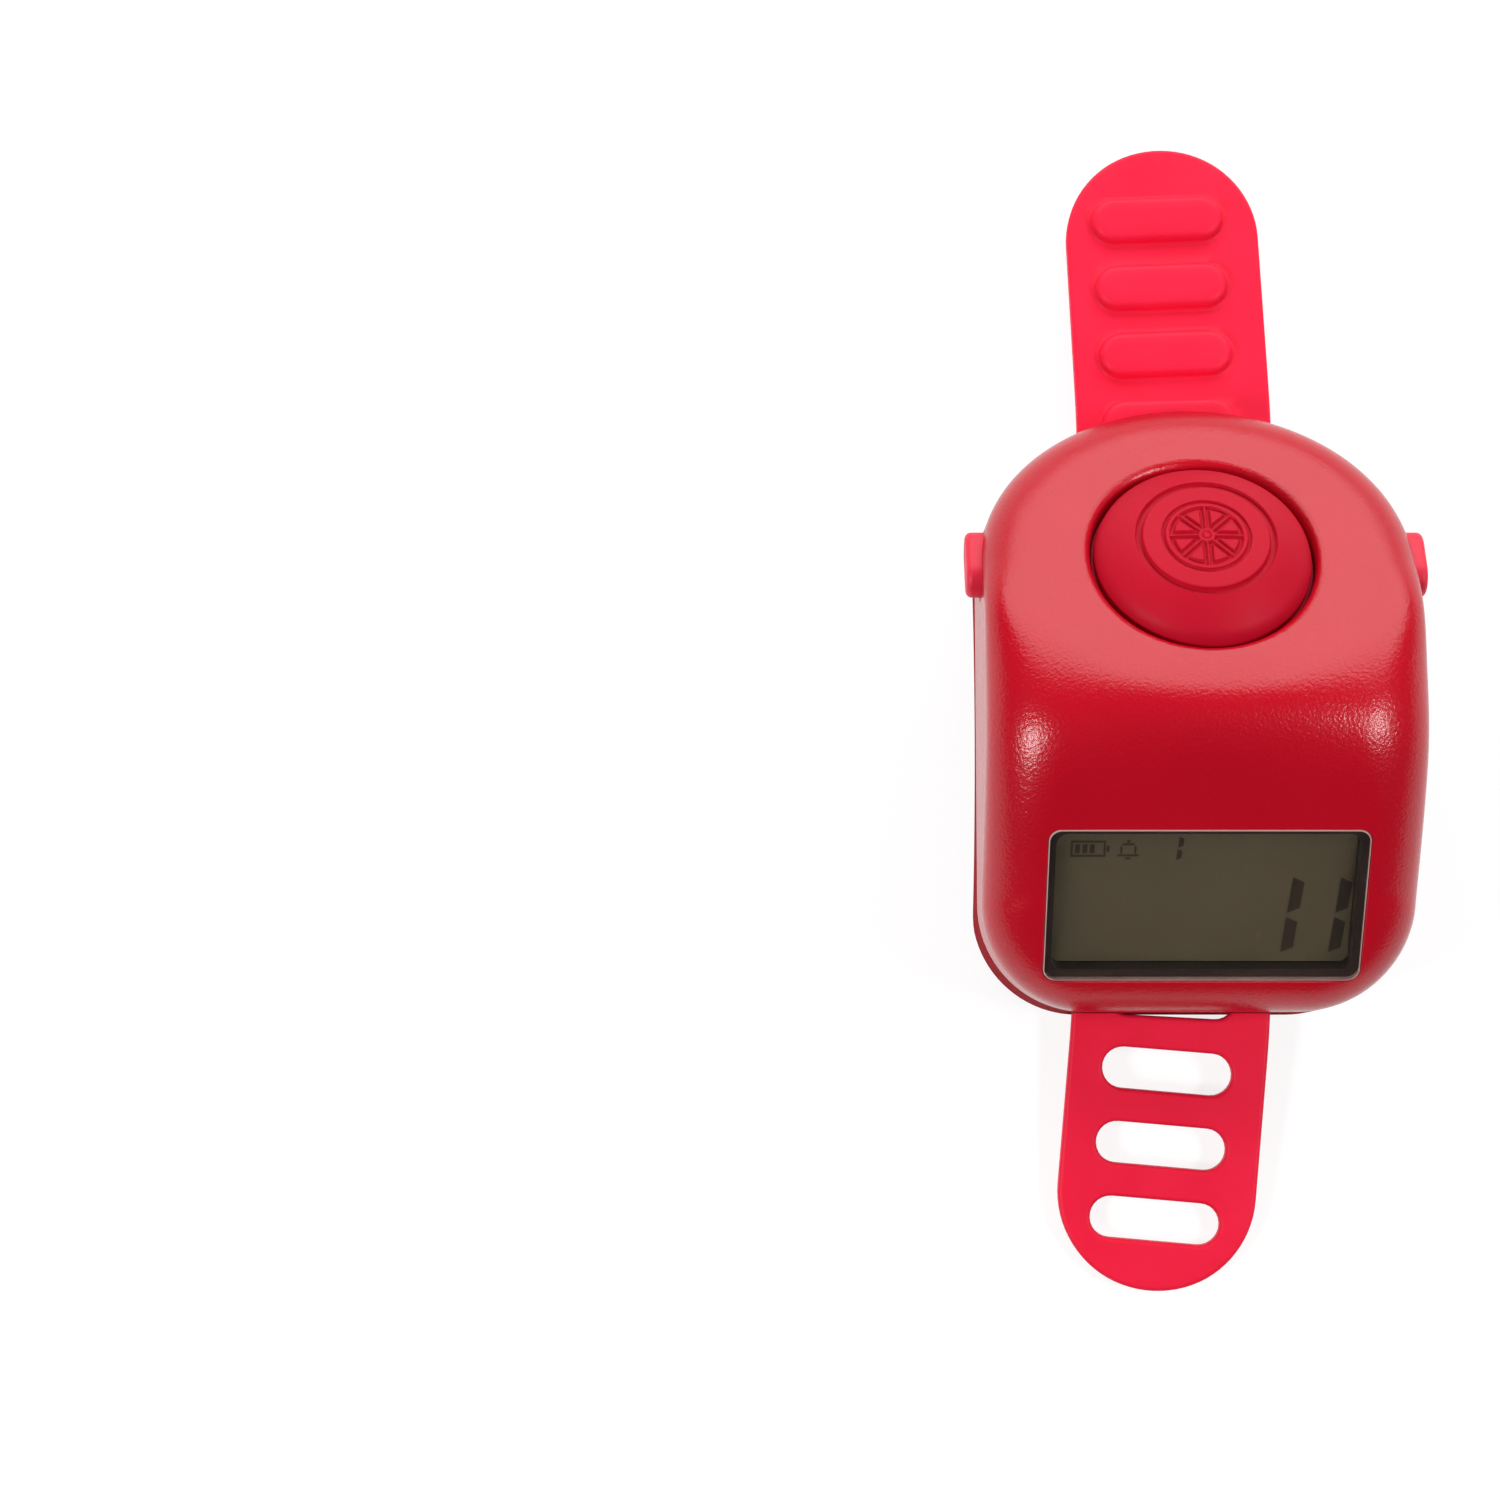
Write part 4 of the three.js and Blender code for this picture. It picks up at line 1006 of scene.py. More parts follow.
@dataclass
class SideButton:
    """A small push button in one side wall: pad, inner flange and the nub that meets its switch."""

    side: Side
    length: float = 5.2
    height: float = 3.0
    proud: float = 1.05
    depth: float = 5.0
    flange_depth: float = 2.5
    flange_thickness: float = 0.8
    flange_overhang: float = 0.9
    edge: float = 0.45
    crown: float = 0.02
    nub_drop: float = 1.454
    nub_radius: float = 0.8
    tab_length: float = 3.0
    tab_corner: float = 0.2
    half_width: float = BODY_FORM.width / 2

    def _place(self, points: Points) -> Points:
        """Stand points on the side wall.

        Args:
            points: Along the slope, up and outwards, one row each.

        Returns:
            The points in the model.
        """
        along, up, out = np.asarray(points, float).T
        tilt = math.radians(-TOP_FACE.tilt)
        y = self.depth * math.sin(tilt) + along * self.side.value
        z = -self.depth * math.cos(tilt) + up
        return TOP_FACE.place(np.stack([out * self.side.value, y, z], 1))

    def hole(self, gap: float) -> Piece:
        """Return the cutter for the button's hole.

        Args:
            gap: Clearance all round the pad.

        Returns:
            The cutter as an object, softly flared at its mouth.
        """
        rings = []
        for flare, out in SIDE_HOLE_FLARE:
            grow = 2 * (gap + flare)
            rings.append(capsule_ring(self.length + grow, self.height + grow, self.half_width + out))
        return loft("side_hole", rings, self._place)

    def build(self) -> Piece:
        """Build and dress the button.

        Returns:
            The finished piece.
        """
        word = self.side.name.lower()
        outer = self.half_width + self.proud
        flange_outer = self.half_width - self.flange_depth
        flange_inner = flange_outer - self.flange_thickness
        rings = [capsule_ring(self.length, self.height, flange_inner)]
        for inset, drop in quarter_round(self.edge, 6):
            rings.append(capsule_ring(self.length - 2 * inset, self.height - 2 * inset, outer - drop))
        inset = 4 * self.edge
        rings.append(capsule_ring(self.length - inset, self.height - inset, outer + self.crown))
        pad = loft(f"{word}_side_button_cap", rings, self._place)
        wide = self.length + 2 * self.flange_overhang
        flange = [capsule_ring(wide, self.height, out) for out in (flange_inner, flange_outer)]
        combine(pad, loft("flange", flange, self._place), Join.ADD)
        combine(pad, self._nub(flange_outer), Join.ADD)
        smooth(pad)
        body = f"{word}_button"
        return finish_piece(pad, SIDE_BUTTON_PLASTIC, body, [f"{word}_side_button"])

    def _nub(self, outer: float) -> Piece:
        """Build the tab and round nub that reach down and in to the switch.

        Args:
            outer: Place of the tab's outer side.

        Returns:
            The two as one solid.
        """
        low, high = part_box(f"{self.side.name.lower()}_side_button")
        reach = min(abs(low.x), abs(high.x)) / MM
        drop = self.nub_drop + self.nub_radius
        ends = (outer - self.flange_thickness, outer)
        tab = [rectangle_ring(self.tab_length, drop, self.tab_corner, out) for out in ends]
        # A hair longer than wide, so that its two half rounds share no point
        long, wide = 2 * self.nub_radius + 0.001, 2 * self.nub_radius
        nub = [capsule_ring(long, wide, out) for out in (reach, outer)]
        tab_piece = loft("tab", [r + np.array([0, -drop / 2, 0]) for r in tab], self._place)
        nub_piece = loft("nub", [r + np.array([0, -self.nub_drop, 0]) for r in nub], self._place)
        return combine(tab_piece, nub_piece, Join.ADD)


@dataclass
class CountButton:
    """The domed count button: a ring groove with a fine eight-spoked wheel engraved inside it."""

    hole_radius: float = UpperShell.hole_radius
    clearance: float = 0.26
    rise: float = 2.9
    proud: float = 0.02
    medallion_rise: float = 0.25
    medallion_sink: float = 0.14
    crown: float = 1.3
    flange_top: float = -1.65
    flange_thickness: float = 0.9
    flange_width: float = 0.9
    post_radius: float = 1.6
    post_end: float = -4.48
    groove_radius: float = 4.75
    groove_width: float = 0.45
    groove_depth: float = 0.36
    rim_round: float = 0.7
    rim_fall: float = 1.25
    skirt: float = 0.14
    skirt_top: float = -1.15
    line_width: float = 0.26
    line_depth: float = 0.24
    wheel_radius: float = 2.75
    wheel_rim: float = 0.3
    spokes: int = 8
    spoke_half: float = 0.22
    hub_radius: float = 0.75
    boss_radius: float = 0.3
    boss_half: float = 0.02
    boss_share: float = 0.8
    ring_softness: float = 0.07
    line_softness: float = 0.06
    sink_width: float = 0.3
    coarse_radius: float = 5.4
    fine_radius: float = 5.32
    fine_step: float = 0.07
    centre_radius: float = 0.04
    sides: int = 360

    @property
    def rim(self) -> float:
        """Radius of the button's wall."""
        return self.hole_radius - self.clearance

    def dome(self, radius: Points) -> Points:
        """Find the height of the dome, with the flatter middle inside the ring groove.

        Args:
            radius: Distances from the middle.

        Returns:
            The heights.
        """
        sphere = (self.rim**2 + self.rise**2) / (2 * self.rise)
        middle = self.groove_radius - self.groove_width / 2
        outer = np.maximum(radius, middle)
        height = self.rise - sphere + np.sqrt(sphere**2 - outer**2) + self.proud
        sunk = self.medallion_sink * np.clip((self.groove_radius - radius) / self.sink_width + 0.5, 0, 1)
        return height - sunk + self.medallion_rise * (1 - np.minimum(1, radius / middle) ** 2)

    def _engraving(self, x: Points, y: Points) -> Points:
        """Find the depth of the ring groove and of the wheel's outlines.

        Args:
            x: Places along X.
            y: Places along Y.

        Returns:
            The depths.
        """
        radius = np.hypot(x, y)
        groove = np.abs(radius - self.groove_radius) - self.groove_width / 2
        ring = self._trench(groove, self.ring_softness) * self.groove_depth
        turn = np.arctan2(y, x)
        step = 2 * math.pi / self.spokes
        nearest = np.abs((turn + step / 2) % step - step / 2)
        spoke = np.maximum(radius * np.sin(nearest) - self.spoke_half, radius - self.wheel_radius)
        rim = np.abs(radius - self.wheel_radius) - self.wheel_rim
        wheel = np.minimum(np.minimum(spoke, rim), radius - self.hub_radius)
        lines = self._trench(np.abs(wheel) - self.line_width / 2, self.line_softness) * self.line_depth
        boss = self._trench(np.abs(radius - self.boss_radius) - self.boss_half, self.ring_softness)
        return np.maximum(np.maximum(ring, lines), boss * self.line_depth * self.boss_share)

    def _trench(self, distance: Points, soft: float) -> Points:
        """Return 1 inside a shape and 0 outside it, with a soft side of a given width."""
        share = np.clip(0.5 - distance / (2 * soft), 0, 1)
        return share * share * (3 - 2 * share)

    def _rolled_rim(self, edge: float) -> list[tuple[float, float]]:
        """Sweep a soft curve from the button's wall up to the dome.

        Args:
            edge: Radius where the dome begins.

        Returns:
            Radius and height of each point.
        """
        high = float(self.dome(edge))
        probe = 0.01
        slope = (float(self.dome(edge - probe)) - high) / probe
        corner = (self.rim, high - slope * (self.rim - edge))
        low = (self.rim, corner[1] - self.rim_fall * self.rim_round)
        points = []
        for t in np.linspace(0, 1, 10)[:-1]:
            weights = ((1 - t) ** 2, 2 * t * (1 - t), t * t)
            ends = (low, corner, (edge, high))
            points.append(tuple(sum(w * e[k] for w, e in zip(weights, ends)) for k in (0, 1)))
        return points

    def build(self) -> Piece:
        """Build and dress the button.

        Returns:
            The finished piece.
        """
        edge = self.rim - self.rim_round
        fine = np.arange(self.fine_radius, self.centre_radius, -self.fine_step)
        angles = np.linspace(0, 2 * math.pi, self.sides, endpoint=False)
        rounds = np.stack([np.cos(angles), np.sin(angles)], 1)
        rings = []
        for radius, z in self._underside() + self._rolled_rim(edge):
            rings.append(np.column_stack([radius * rounds, np.full(self.sides, z)]))
        for radius in (edge, *np.linspace(edge, self.coarse_radius, 18)[1:], *fine):
            flat = radius * rounds
            height = self.dome(np.full(self.sides, radius)) - self._engraving(*flat.T)
            rings.append(np.column_stack([flat, height]))
        foot = np.array([[0.0, 0.0, self.post_end]])
        centre = np.array([[0.0, 0.0, float(self.dome(0.0))]])
        last = 1 + (len(rings) - 1) * self.sides
        faces = ring_faces(self.sides, len(rings), 1)
        for i in range(self.sides):
            j = (i + 1) % self.sides
            faces += [(0, 1 + j, 1 + i), (last + i, last + j, last + self.sides)]
        points = TOP_FACE.place(np.concatenate([foot, *rings, centre]))
        piece = polished_mesh("count_button_cap", points, faces)
        smooth(piece, crease=40.0)
        return finish_piece(piece, BUTTON_ABS, "count_button", ["count_button"])

    def _underside(self) -> list[tuple[float, float]]:
        """List the profile from the post's end over the hollow and the flange to the skirt.

        Returns:
            Radius and height of each point.
        """
        inner = self.rim - self.crown
        flange = self.rim + self.flange_width + self.clearance
        flange_bottom = self.flange_top - self.flange_thickness
        hollow = np.linspace(self.post_radius, inner, 8)
        return [
            (self.post_radius, self.post_end),
            *((r, float(self.dome(r)) - self.crown) for r in hollow),
            (inner, flange_bottom),
            (flange, flange_bottom),
            (flange, self.flange_top),
            (self.rim + self.skirt, self.flange_top),
            (self.rim + self.skirt, self.skirt_top),
            (self.rim, self.skirt_top),
        ]


class CopyTree:
    """A Geometry Nodes tree that stands copies on points, realizes them and sets their material.

    Each kind names its own inputs and lays its own points.
    """

    kind = "copies"
    inputs: dict[str, str] = {}

    def __init__(self, finish: Finish) -> None:
        """Build the tree.

        Args:
            finish: The finish that the copies' faces are set to.
        """
        self.tree = bpy.data.node_groups.new(f"{self.kind}_of_{finish.name}", "GeometryNodeTree")
        face = self.tree.interface
        face.new_socket("Geometry", in_out="INPUT", socket_type="NodeSocketGeometry")
        self.sockets = {
            name: face.new_socket(name, in_out="INPUT", socket_type=f"NodeSocket{kind}").identifier
            for name, kind in self.inputs.items()
        }
        face.new_socket("Geometry", in_out="OUTPUT", socket_type="NodeSocketGeometry")
        copies = self.copies(add_node(self.tree, "NodeGroupInput").outputs)
        placed = add_node(self.tree, "GeometryNodeInstanceOnPoints", copies)
        solid = add_node(self.tree, "GeometryNodeRealizeInstances", {"Geometry": placed.outputs["Instances"]})
        inputs = {"Geometry": solid.outputs["Geometry"], "Material": finish.material()}
        dressed = add_node(self.tree, "GeometryNodeSetMaterial", inputs)
        add_node(self.tree, "NodeGroupOutput", {"Geometry": dressed.outputs["Geometry"]})

    def copies(self, given: bpy.types.NodeOutputs) -> dict:
        """Lay the points; each kind does it its own way.

        Args:
            given: The tree's inputs.

        Returns:
            The inputs of the node that stands the copies on the points.
        """
        raise NotImplementedError

    def bake(self, piece: Piece, values: dict) -> Piece:
        """Run the tree on a piece and bake the result into its mesh.

        Args:
            piece: The piece that the tree sits on.
            values: Value of each named input.

        Returns:
            The same object, now all the copies.
        """
        modifier = piece.modifiers.new(self.kind, "NODES")
        modifier.node_group = self.tree
        for name, value in values.items():
            modifier[self.sockets[name]] = value
        return evaluated(piece)


class RepeatRow(CopyTree):
    """Repeats the piece it sits on in an even row."""

    kind = "row"
    inputs = {"Count": "Int", "Start": "Vector", "Pitch": "Vector"}

    def copies(self, given: bpy.types.NodeOutputs) -> dict:
        """Lay the points of the row.

        Args:
            given: The tree's inputs.

        Returns:
            The row's points and the piece itself.
        """
        inputs = {"Count": given["Count"], "Start Location": given["Start"], "Offset": given["Pitch"]}
        line = add_node(self.tree, "GeometryNodeMeshLine", inputs, mode="OFFSET")
        return {"Points": line.outputs["Mesh"], "Instance": given["Geometry"]}

    def apply(self, piece: Piece, count: int, start: Points, pitch: Points) -> Piece:
        """Repeat a piece and bake the row into its mesh.

        Args:
            piece: The piece that is repeated.
            count: How many there are.
            start: Place of the first, in millimetres.
            pitch: Step from each to the next, in millimetres.

        Returns:
            The same object, now the whole row.
        """
        first, step = (tuple(float(v) * MM for v in vector) for vector in (start, pitch))
        return self.bake(piece, {"Count": count, "Start": first, "Pitch": step})


class ScatterOnSeats(CopyTree):
    """Stands a copy of one fastener on each point of the mesh it sits on."""

    kind = "seats"
    inputs = {"Fastener": "Object", "Largest Turn": "Float", "Seed": "Int"}

    def copies(self, given: bpy.types.NodeOutputs) -> dict:
        """Take the mesh's points as seats and turn each copy by chance.

        Args:
            given: The tree's inputs.

        Returns:
            The seats, the fastener and its turns.
        """
        source = add_node(self.tree, "GeometryNodeObjectInfo", {"Object": given["Fastener"]})
        inputs = {"Max": given["Largest Turn"], "Seed": given["Seed"]}
        chance = add_node(self.tree, "FunctionNodeRandomValue", inputs, data_type="FLOAT")
        turn = add_node(self.tree, "ShaderNodeCombineXYZ", {"Z": chance.outputs[1]})
        copied = source.outputs["Geometry"]
        return {"Points": given["Geometry"], "Instance": copied, "Rotation": turn.outputs["Vector"]}

    def apply(self, seats: Piece, fastener: Piece, seed: int) -> Piece:
        """Stand the fastener on every seat and bake the result into the seats' object.

        Args:
            seats: Object whose points are the seats.
            fastener: The fastener, standing on the origin; it is used up.
            seed: Fixed seed of the turns.

        Returns:
            The seats' object, now all the fasteners.
        """
        self.bake(seats, {"Fastener": fastener, "Largest Turn": math.pi, "Seed": seed})
        bpy.data.objects.remove(fastener)
        return seats


# Middle and size of each bar of the two icons on the display
ICON_BARS = (
    # Battery: four sides, its pole and three bars of charge
    (-8.35, 3.13, 2.5, 0.16),
    (-8.35, 4.27, 2.5, 0.16),
    (-9.52, 3.7, 0.16, 0.94),
    (-7.18, 3.7, 0.16, 0.94),
    (-6.94, 3.7, 0.2, 0.5),
    (-9.1, 3.7, 0.34, 0.7),
    (-8.58, 3.7, 0.34, 0.7),
    (-8.06, 3.7, 0.34, 0.7),
    # Bell: foot, two sides, top, handle and clapper
    (-5.5, 3.17, 1.5, 0.16),
    (-6.0, 3.6, 0.16, 0.6),
    (-5.0, 3.6, 0.16, 0.6),
    (-5.5, 4.05, 0.86, 0.16),
    (-5.5, 4.29, 0.26, 0.2),
    (-5.5, 2.93, 0.4, 0.16),
)


@dataclass
class Display:
    """The pane, its dark liner of painted shade, the liquid-crystal cell and its switched-on segments."""

    window: WindowForm = WindowForm()
    clearance: float = 0.05
    recess: float = 0.06
    thickness: float = 1.0
    bevel: float = 0.08
    surround_wall: float = 0.14
    segment_thickness: float = 0.02
    face_level: float = -2.2
    glass_level: float = -2.72
    glass_thickness: float = 1.6
    digit_height: float = 6.1
    digit_pitch: float = 3.43
    slant: float = 0.085
    small_digit_height: float = 1.85
    digit_width: float = 0.86
    small_digit_width: float = 0.36
    digit_place: tuple[float, float] = (5.82, -4.7)
    small_digit_place: tuple[float, float] = (-2.08, 2.8)
    segment_share: float = 0.47
    point_share: float = 0.45
    film_gap: float = 0.004
    liner_foot: float = 0.06
    liner_fit: float = 0.02
    liner_seat: float = 0.01
    liner_top: float = 0.09
    cell_margin: float = 0.15
    cell_corner: float = 0.3
    polariser_inset: float = 0.17
    polariser_edge: float = 0.04
    icon_corner: float = 0.03
    flat_cosine: float = 0.98  # past this a face belongs to the pane's flat, not to its rim

    def build(self) -> list[Piece]:
        """Build and dress the display's pieces.

        Returns:
            The finished pieces.
        """
        return [self._pane(), self._surround(), self._cell(), self._digits(), self._icons()]

    def _pane(self) -> Piece:
        """Build the clear pane with its bevelled rim.

        Returns:
            The finished pane.
        """
        form, top, bevel = self.window, -self.recess, self.bevel
        edge = [(0.0, top - self.thickness), (0.0, top - bevel)]
        edge += [(0.3 * bevel, top - 0.35 * bevel), (bevel, top)]
        stack = [rectangle_ring(*form.size(self.clearance + i), form.corner - i / 2, z, 12) for i, z in edge]
        pane = loft("window_pane", stack, FRONT_FACE.place)
        smooth(pane)
        finish_piece(pane, PANE_ACRYLIC, CASE, ["display_window"])
        # The rim's pale pinkish finish is a painted highlight along the bevel, over the milky sawn edge
        pane.data.materials.append(PANE_EDGE_MILK_AND_HIGHLIGHT.material())
        square = Vector(self._step(0.0, 0.0, 1.0)).normalized()
        for polygon in pane.data.polygons:
            polygon.material_index = 0 if abs(polygon.normal.dot(square)) > self.flat_cosine else 1
        return pane

    def _surround(self) -> Piece:
        """Build the thin dark liner on the ledge and down the opening's walls; its dark colour is painted
        shade.

        Returns:
            The finished liner.
        """
        lowest = self.face_level + self.liner_foot
        ledge = -self.recess - self.thickness - self.clearance
        seat, form = ledge + self.liner_seat, self.window
        snug, hollow = form.ledge_width + self.liner_fit, form.ledge_width + self.surround_wall
        stack = [(snug, lowest), (snug, seat), (self.clearance, seat)]
        stack.append((self.clearance, ledge + self.liner_top))
        outer = [rectangle_ring(*form.size(inset), form.corner, z) for inset, z in stack]
        inner = [rectangle_ring(*form.size(hollow), form.corner, z) for z in (lowest - 1, 0.5)]
        liner = loft("display_surround", outer, FRONT_FACE.place)
        combine(liner, loft("hollow", inner, FRONT_FACE.place), Join.CUT)
        smooth(liner)
        # The liner's dark warm grey is painted shade on the opening's walls
        return finish_piece(liner, SHADE_LINER, CASE)

    def _cell(self) -> Piece:
        """Build the cell's glass with the thick polariser that stands in the opening.

        Returns:
            The finished cell.
        """
        outer = self.window.ledge_width - self.cell_margin
        top, glass, edge = self.face_level, self.glass_level, self.polariser_edge
        set_in = self.polariser_inset + self.surround_wall
        stack = [(0.0, glass - self.glass_thickness), (0.0, glass), (set_in, glass), (set_in, top - edge)]
        stack.append((set_in + edge, top))
        rings = [rectangle_ring(*self.window.size(outer + i), self.cell_corner, z) for i, z in stack]
        cell = loft("display_cell", rings, FRONT_FACE.place)
        smooth(cell)
        return finish_piece(cell, DISPLAY_CELL, CASE, ["lcd_glass"])

    def _segment(self, name: str, length: float, width: float) -> Piece:
        """Build one upright pointed segment, its foot at the origin.

        Args:
            name: The object's name.
            length: Its length.
            width: Its width.

        Returns:
            The segment as an object.
        """
        tip = width * self.point_share
        outline = np.array([(0.0, 0.0), (width, tip), (width, length - tip), (0.0, length)])
        outline[:, 0] += outline[:, 1] * self.slant
        return loft(name, [np.column_stack([outline, np.full(4, z)]) for z in self._film()], FRONT_FACE.turn)

    def _film(self) -> tuple[float, float]:
        """Return the underside and top of the thin film on the cell."""
        low = self.face_level + self.film_gap
        return low, low + self.segment_thickness

    def _step(self, x: float, y: float, z: float = 0.0) -> Points:
        """Turn a step in the face to a step in the model."""
        return FRONT_FACE.turn(np.array([[x, y, z]]))[0]

    def _one(self, name: str, height: float, width: float, start: Points) -> Piece:
        """Build a digit one from two segments.

        Args:
            name: The object's name.
            height: The digit's height.
            width: Width of its segments.
            start: Place of its foot.

        Returns:
            The digit as an object.
        """
        length = height * self.segment_share
        rise = height - length
        piece = self._segment(name, length, width)
        return RepeatRow(DISPLAY_SEGMENT).apply(piece, 2, start, self._step(rise * self.slant, rise))

    def _digits(self) -> Piece:
        """Build the two lit ones at the right and the small one at the top.

        Returns:
            The finished digits.
        """
        origin = FRONT_FACE.place(np.zeros((1, 3)))[0]
        large = self._one("display_digits", self.digit_height, self.digit_width, np.zeros(3))
        start = origin + self._step(*self.digit_place)
        RepeatRow(DISPLAY_SEGMENT).apply(large, 2, start, self._step(self.digit_pitch, 0.0))
        start = origin + self._step(*self.small_digit_place)
        small = self._one("small_digit", self.small_digit_height, self.small_digit_width, start)
        merged = merge_meshes("display_digits", [large, small])
        return finish_piece(merged, DISPLAY_SEGMENT, CASE)

    def _icons(self) -> Piece:
        """Build a plain battery outline and a plain bell outline at the top left.

        Returns:
            The finished icons.
        """
        parts = []
        for x, y, wide, tall in ICON_BARS:
            rings = [rectangle_ring(wide, tall, self.icon_corner, z, 3) for z in self._film()]
            parts.append(loft("bar", [r + np.array([x, y, 0.0]) for r in rings], FRONT_FACE.place))
        merged = merge_meshes("display_icons", parts)
        return finish_piece(merged, DISPLAY_SEGMENT, CASE)


def merge_meshes(name: str, parts: Sequence[Piece]) -> Piece:
    """Put several meshes in one object, and use them up.

    Args:
        name: The new object's name.
        parts: Objects whose places are in their meshes.

    Returns:
        The new object.
    """
    vertices: list[Vector] = []
    faces: list[list[int]] = []
    for part in parts:
        start = len(vertices)
        vertices.extend(v.co.copy() for v in part.data.vertices)
        faces.extend([start + i for i in p.vertices] for p in part.data.polygons)
    for part in parts:
        bpy.data.objects.remove(part)
    mesh = bpy.data.meshes.new(name)
    mesh.from_pydata(vertices, [], faces)
    piece = bpy.data.objects.new(name, mesh)
    bpy.context.scene.collection.objects.link(piece)
    return piece


@dataclass(frozen=True)
class PanHeadScrew:
    """A small self-tapping screw, its head below the origin and its shank above it."""

    length: float
    head_radius: float = 1.4
    head_thickness: float = 0.8
    head_flat: float = 0.5
    shank_radius: float = 0.8
    thread_pitch: float = 0.45
    thread_depth: float = 0.16
    point: float = 0.3
    recess_share: float = 0.65
    recess_half: float = 0.16
    recess_depth: float = 0.4

    def build(self) -> Piece:
        """Turn the screw and cut its cross recess.

        Returns:
            The screw as an object.
        """
        low, head, shank = -self.head_thickness, self.head_radius, self.shank_radius
        profile = [(0.0, low), (head - self.head_flat, low), (head - 0.22, low + 0.06), (head, low + 0.3)]
        profile += [(head, 0.0), (shank, 0.0)]
        for z in np.arange(0.5, self.length - 2 * self.point, self.thread_pitch):
            profile += [(shank - self.thread_depth, z), (shank, z + 0.2)]
        profile += [(shank - self.point, self.length - 0.2), (0.0, self.length)]
        screw = turned("screw", profile, sides=32, place=np.asarray)
        arm, half = head * self.recess_share, self.recess_half
        for wide, deep in ((arm, half), (half, arm)):
            ends = (low - 0.1, low + self.recess_depth)
            rings = [rectangle_ring(2 * wide, 2 * deep, 0.05, z, 3) for z in ends]
            combine(screw, loft("slot", rings), Join.CUT)
        return screw


# Place along Y and flare of the strap's slot, from its rear mouth inwards
SLOT_MOUTH = ((30.0, 1.0), (22.2, 1.0), (21.85, 0.6), (21.6, 0.0))


@dataclass
class LowerCase:
    """The bottom cover with its finger saddle, the battery door and the five screws under it."""

    form: BodyForm = BODY_FORM
    top: float = 6.28
    top_chamfer: float = 0.18
    foot_edge: float = 0.8
    wall: float = 1.5
    saddle_rise: float = 4.8
    foot_length: float = 5.3
    saddle_floor: float = 1.5
    saddle_edge: float = 0.6
    saddle_reach: float = 0.6
    past_walls: float = 17.0
    through: float = 12.0
    slot_half: float = 8.45
    slot_corner: float = 0.5
    slot_bottom: float = 1.7
    slot_top: float = 3.375
    strap_roof: float = 4.975
    mouth_half: float = 5.9
    mouth_top: float = 4.325
    mouth_depth: float = 3.45
    mouth_sill: float = 0.2
    door_width: float = 14.2
    door_front: float = -9.7
    door_rear: float = 7.6
    door_thickness: float = 0.75
    door_gap: float = 0.15
    cell_y: float = -3.0
    cell_hole: float = 6.15
    door_screw_y: float = 5.2
    front_post: tuple[float, float] = (12.1, -4.0)
    rear_post: tuple[float, float] = (9.9, 14.4)
    rear_head_depth: float = 2.6
    front_head_depth: float = 0.7
    door_head_depth: float = 0.2
    door_under: float = 0.05
    case_screw: PanHeadScrew = PanHeadScrew(6.0)
    door_screw: PanHeadScrew = PanHeadScrew(2.2)
    screw_gap: float = 0.12

    @property
    def saddle_radius(self) -> float:
        """Radius of the finger saddle."""
        span = self.form.length / 2 - self.foot_length
        return (span**2 + self.saddle_rise**2) / (2 * self.saddle_rise)

    def saddle_height(self, y: float, grow: float = 0.0) -> float:
        """Return the height of the saddle's arch at a place along Y."""
        return self.saddle_rise - self.saddle_radius + math.sqrt((self.saddle_radius + grow) ** 2 - y * y)

    def _arch_block(
        self, name: str, half: float, y0: float, y1: float, grow: float, bottom: float, flare: float = 0.0
    ) -> Piece:
        """Return a block across X whose top follows the saddle's arch.

        Args:
            name: The object's name.
            half: Half of its width across X.
            y0: Its front end.
            y1: Its rear end.
            grow: Added to the saddle's radius.
            bottom: Height of its flat foot.
            flare: How far the arch widens at both ends of X, as a rounded edge.

        Returns:
            The block as an object.
        """
        places = np.linspace(y1, y0, 90)
        stations = [(-half, flare)]
        if flare:
            outer = self.form.width / 2
            stations += [(inset - outer, drop) for inset, drop in quarter_round(flare, 6)]
        stations += [(-x, g) for x, g in reversed(stations)]
        rings = []
        for x, widen in stations:
            arch = [(x, y, self.saddle_height(y, grow + widen)) for y in places]
            rings.append(np.array([(x, y1, bottom), *arch, (x, y0, bottom)]))
        return loft(name, rings, level)

    def build(self) -> list[Piece]:
        """Build and dress the cover, the door and the screws.

        Returns:
            The finished pieces.
        """
        return [self._cover(), self._door(), self._screws()]

    def _cover(self) -> Piece:
        """Build the bottom cover with its hollows cut.

        Returns:
            The finished cover.
        """
        form = self.form
        stack = [*reversed(quarter_round(self.foot_edge, 6)), (0.0, self.top - self.top_chamfer)]
        stack.append((self.top_chamfer, self.top))
        cover = loft("case_base", [form.wall_ring(i, z) for i, z in stack], level)
        levels = (self.strap_roof, self.top + 1)
        cavity = loft("cavity", [form.wall_ring(self.wall, z) for z in levels], level)
        reach = form.length / 2 - 1
        floor = self._arch_block("floor", self.past_walls, -reach, reach, self.saddle_floor, -1.0)
        combine(cavity, floor, Join.CUT)
        combine(cover, cavity, Join.CUT)
        span = form.length / 2 - self.foot_length + self.saddle_reach
        saddle = self._arch_block("saddle", self.past_walls, -span, span, 0.0, -3.0, self.saddle_edge)
        combine(cover, saddle, Join.CUT)
        combine(cover, self._slot(), Join.CUT)
        combine(cover, self._rib_mouth(), Join.CUT)
        ends = (self.door_front, self.door_rear)
        recess = self._arch_block("recess", self.door_width / 2, *ends, self.door_thickness, 1.0)
        combine(cover, recess, Join.CUT)
        for x, y, radius, z0, z1 in self._holes():
            combine(cover, self._pin("hole", x, y, radius, z0, z1), Join.CUT)
        smooth(cover)
        # The cover's darker red is painted shade under the shell
        return finish_piece(cover, COVER_ABS_SHADED, CASE, ["bottom_cover"])

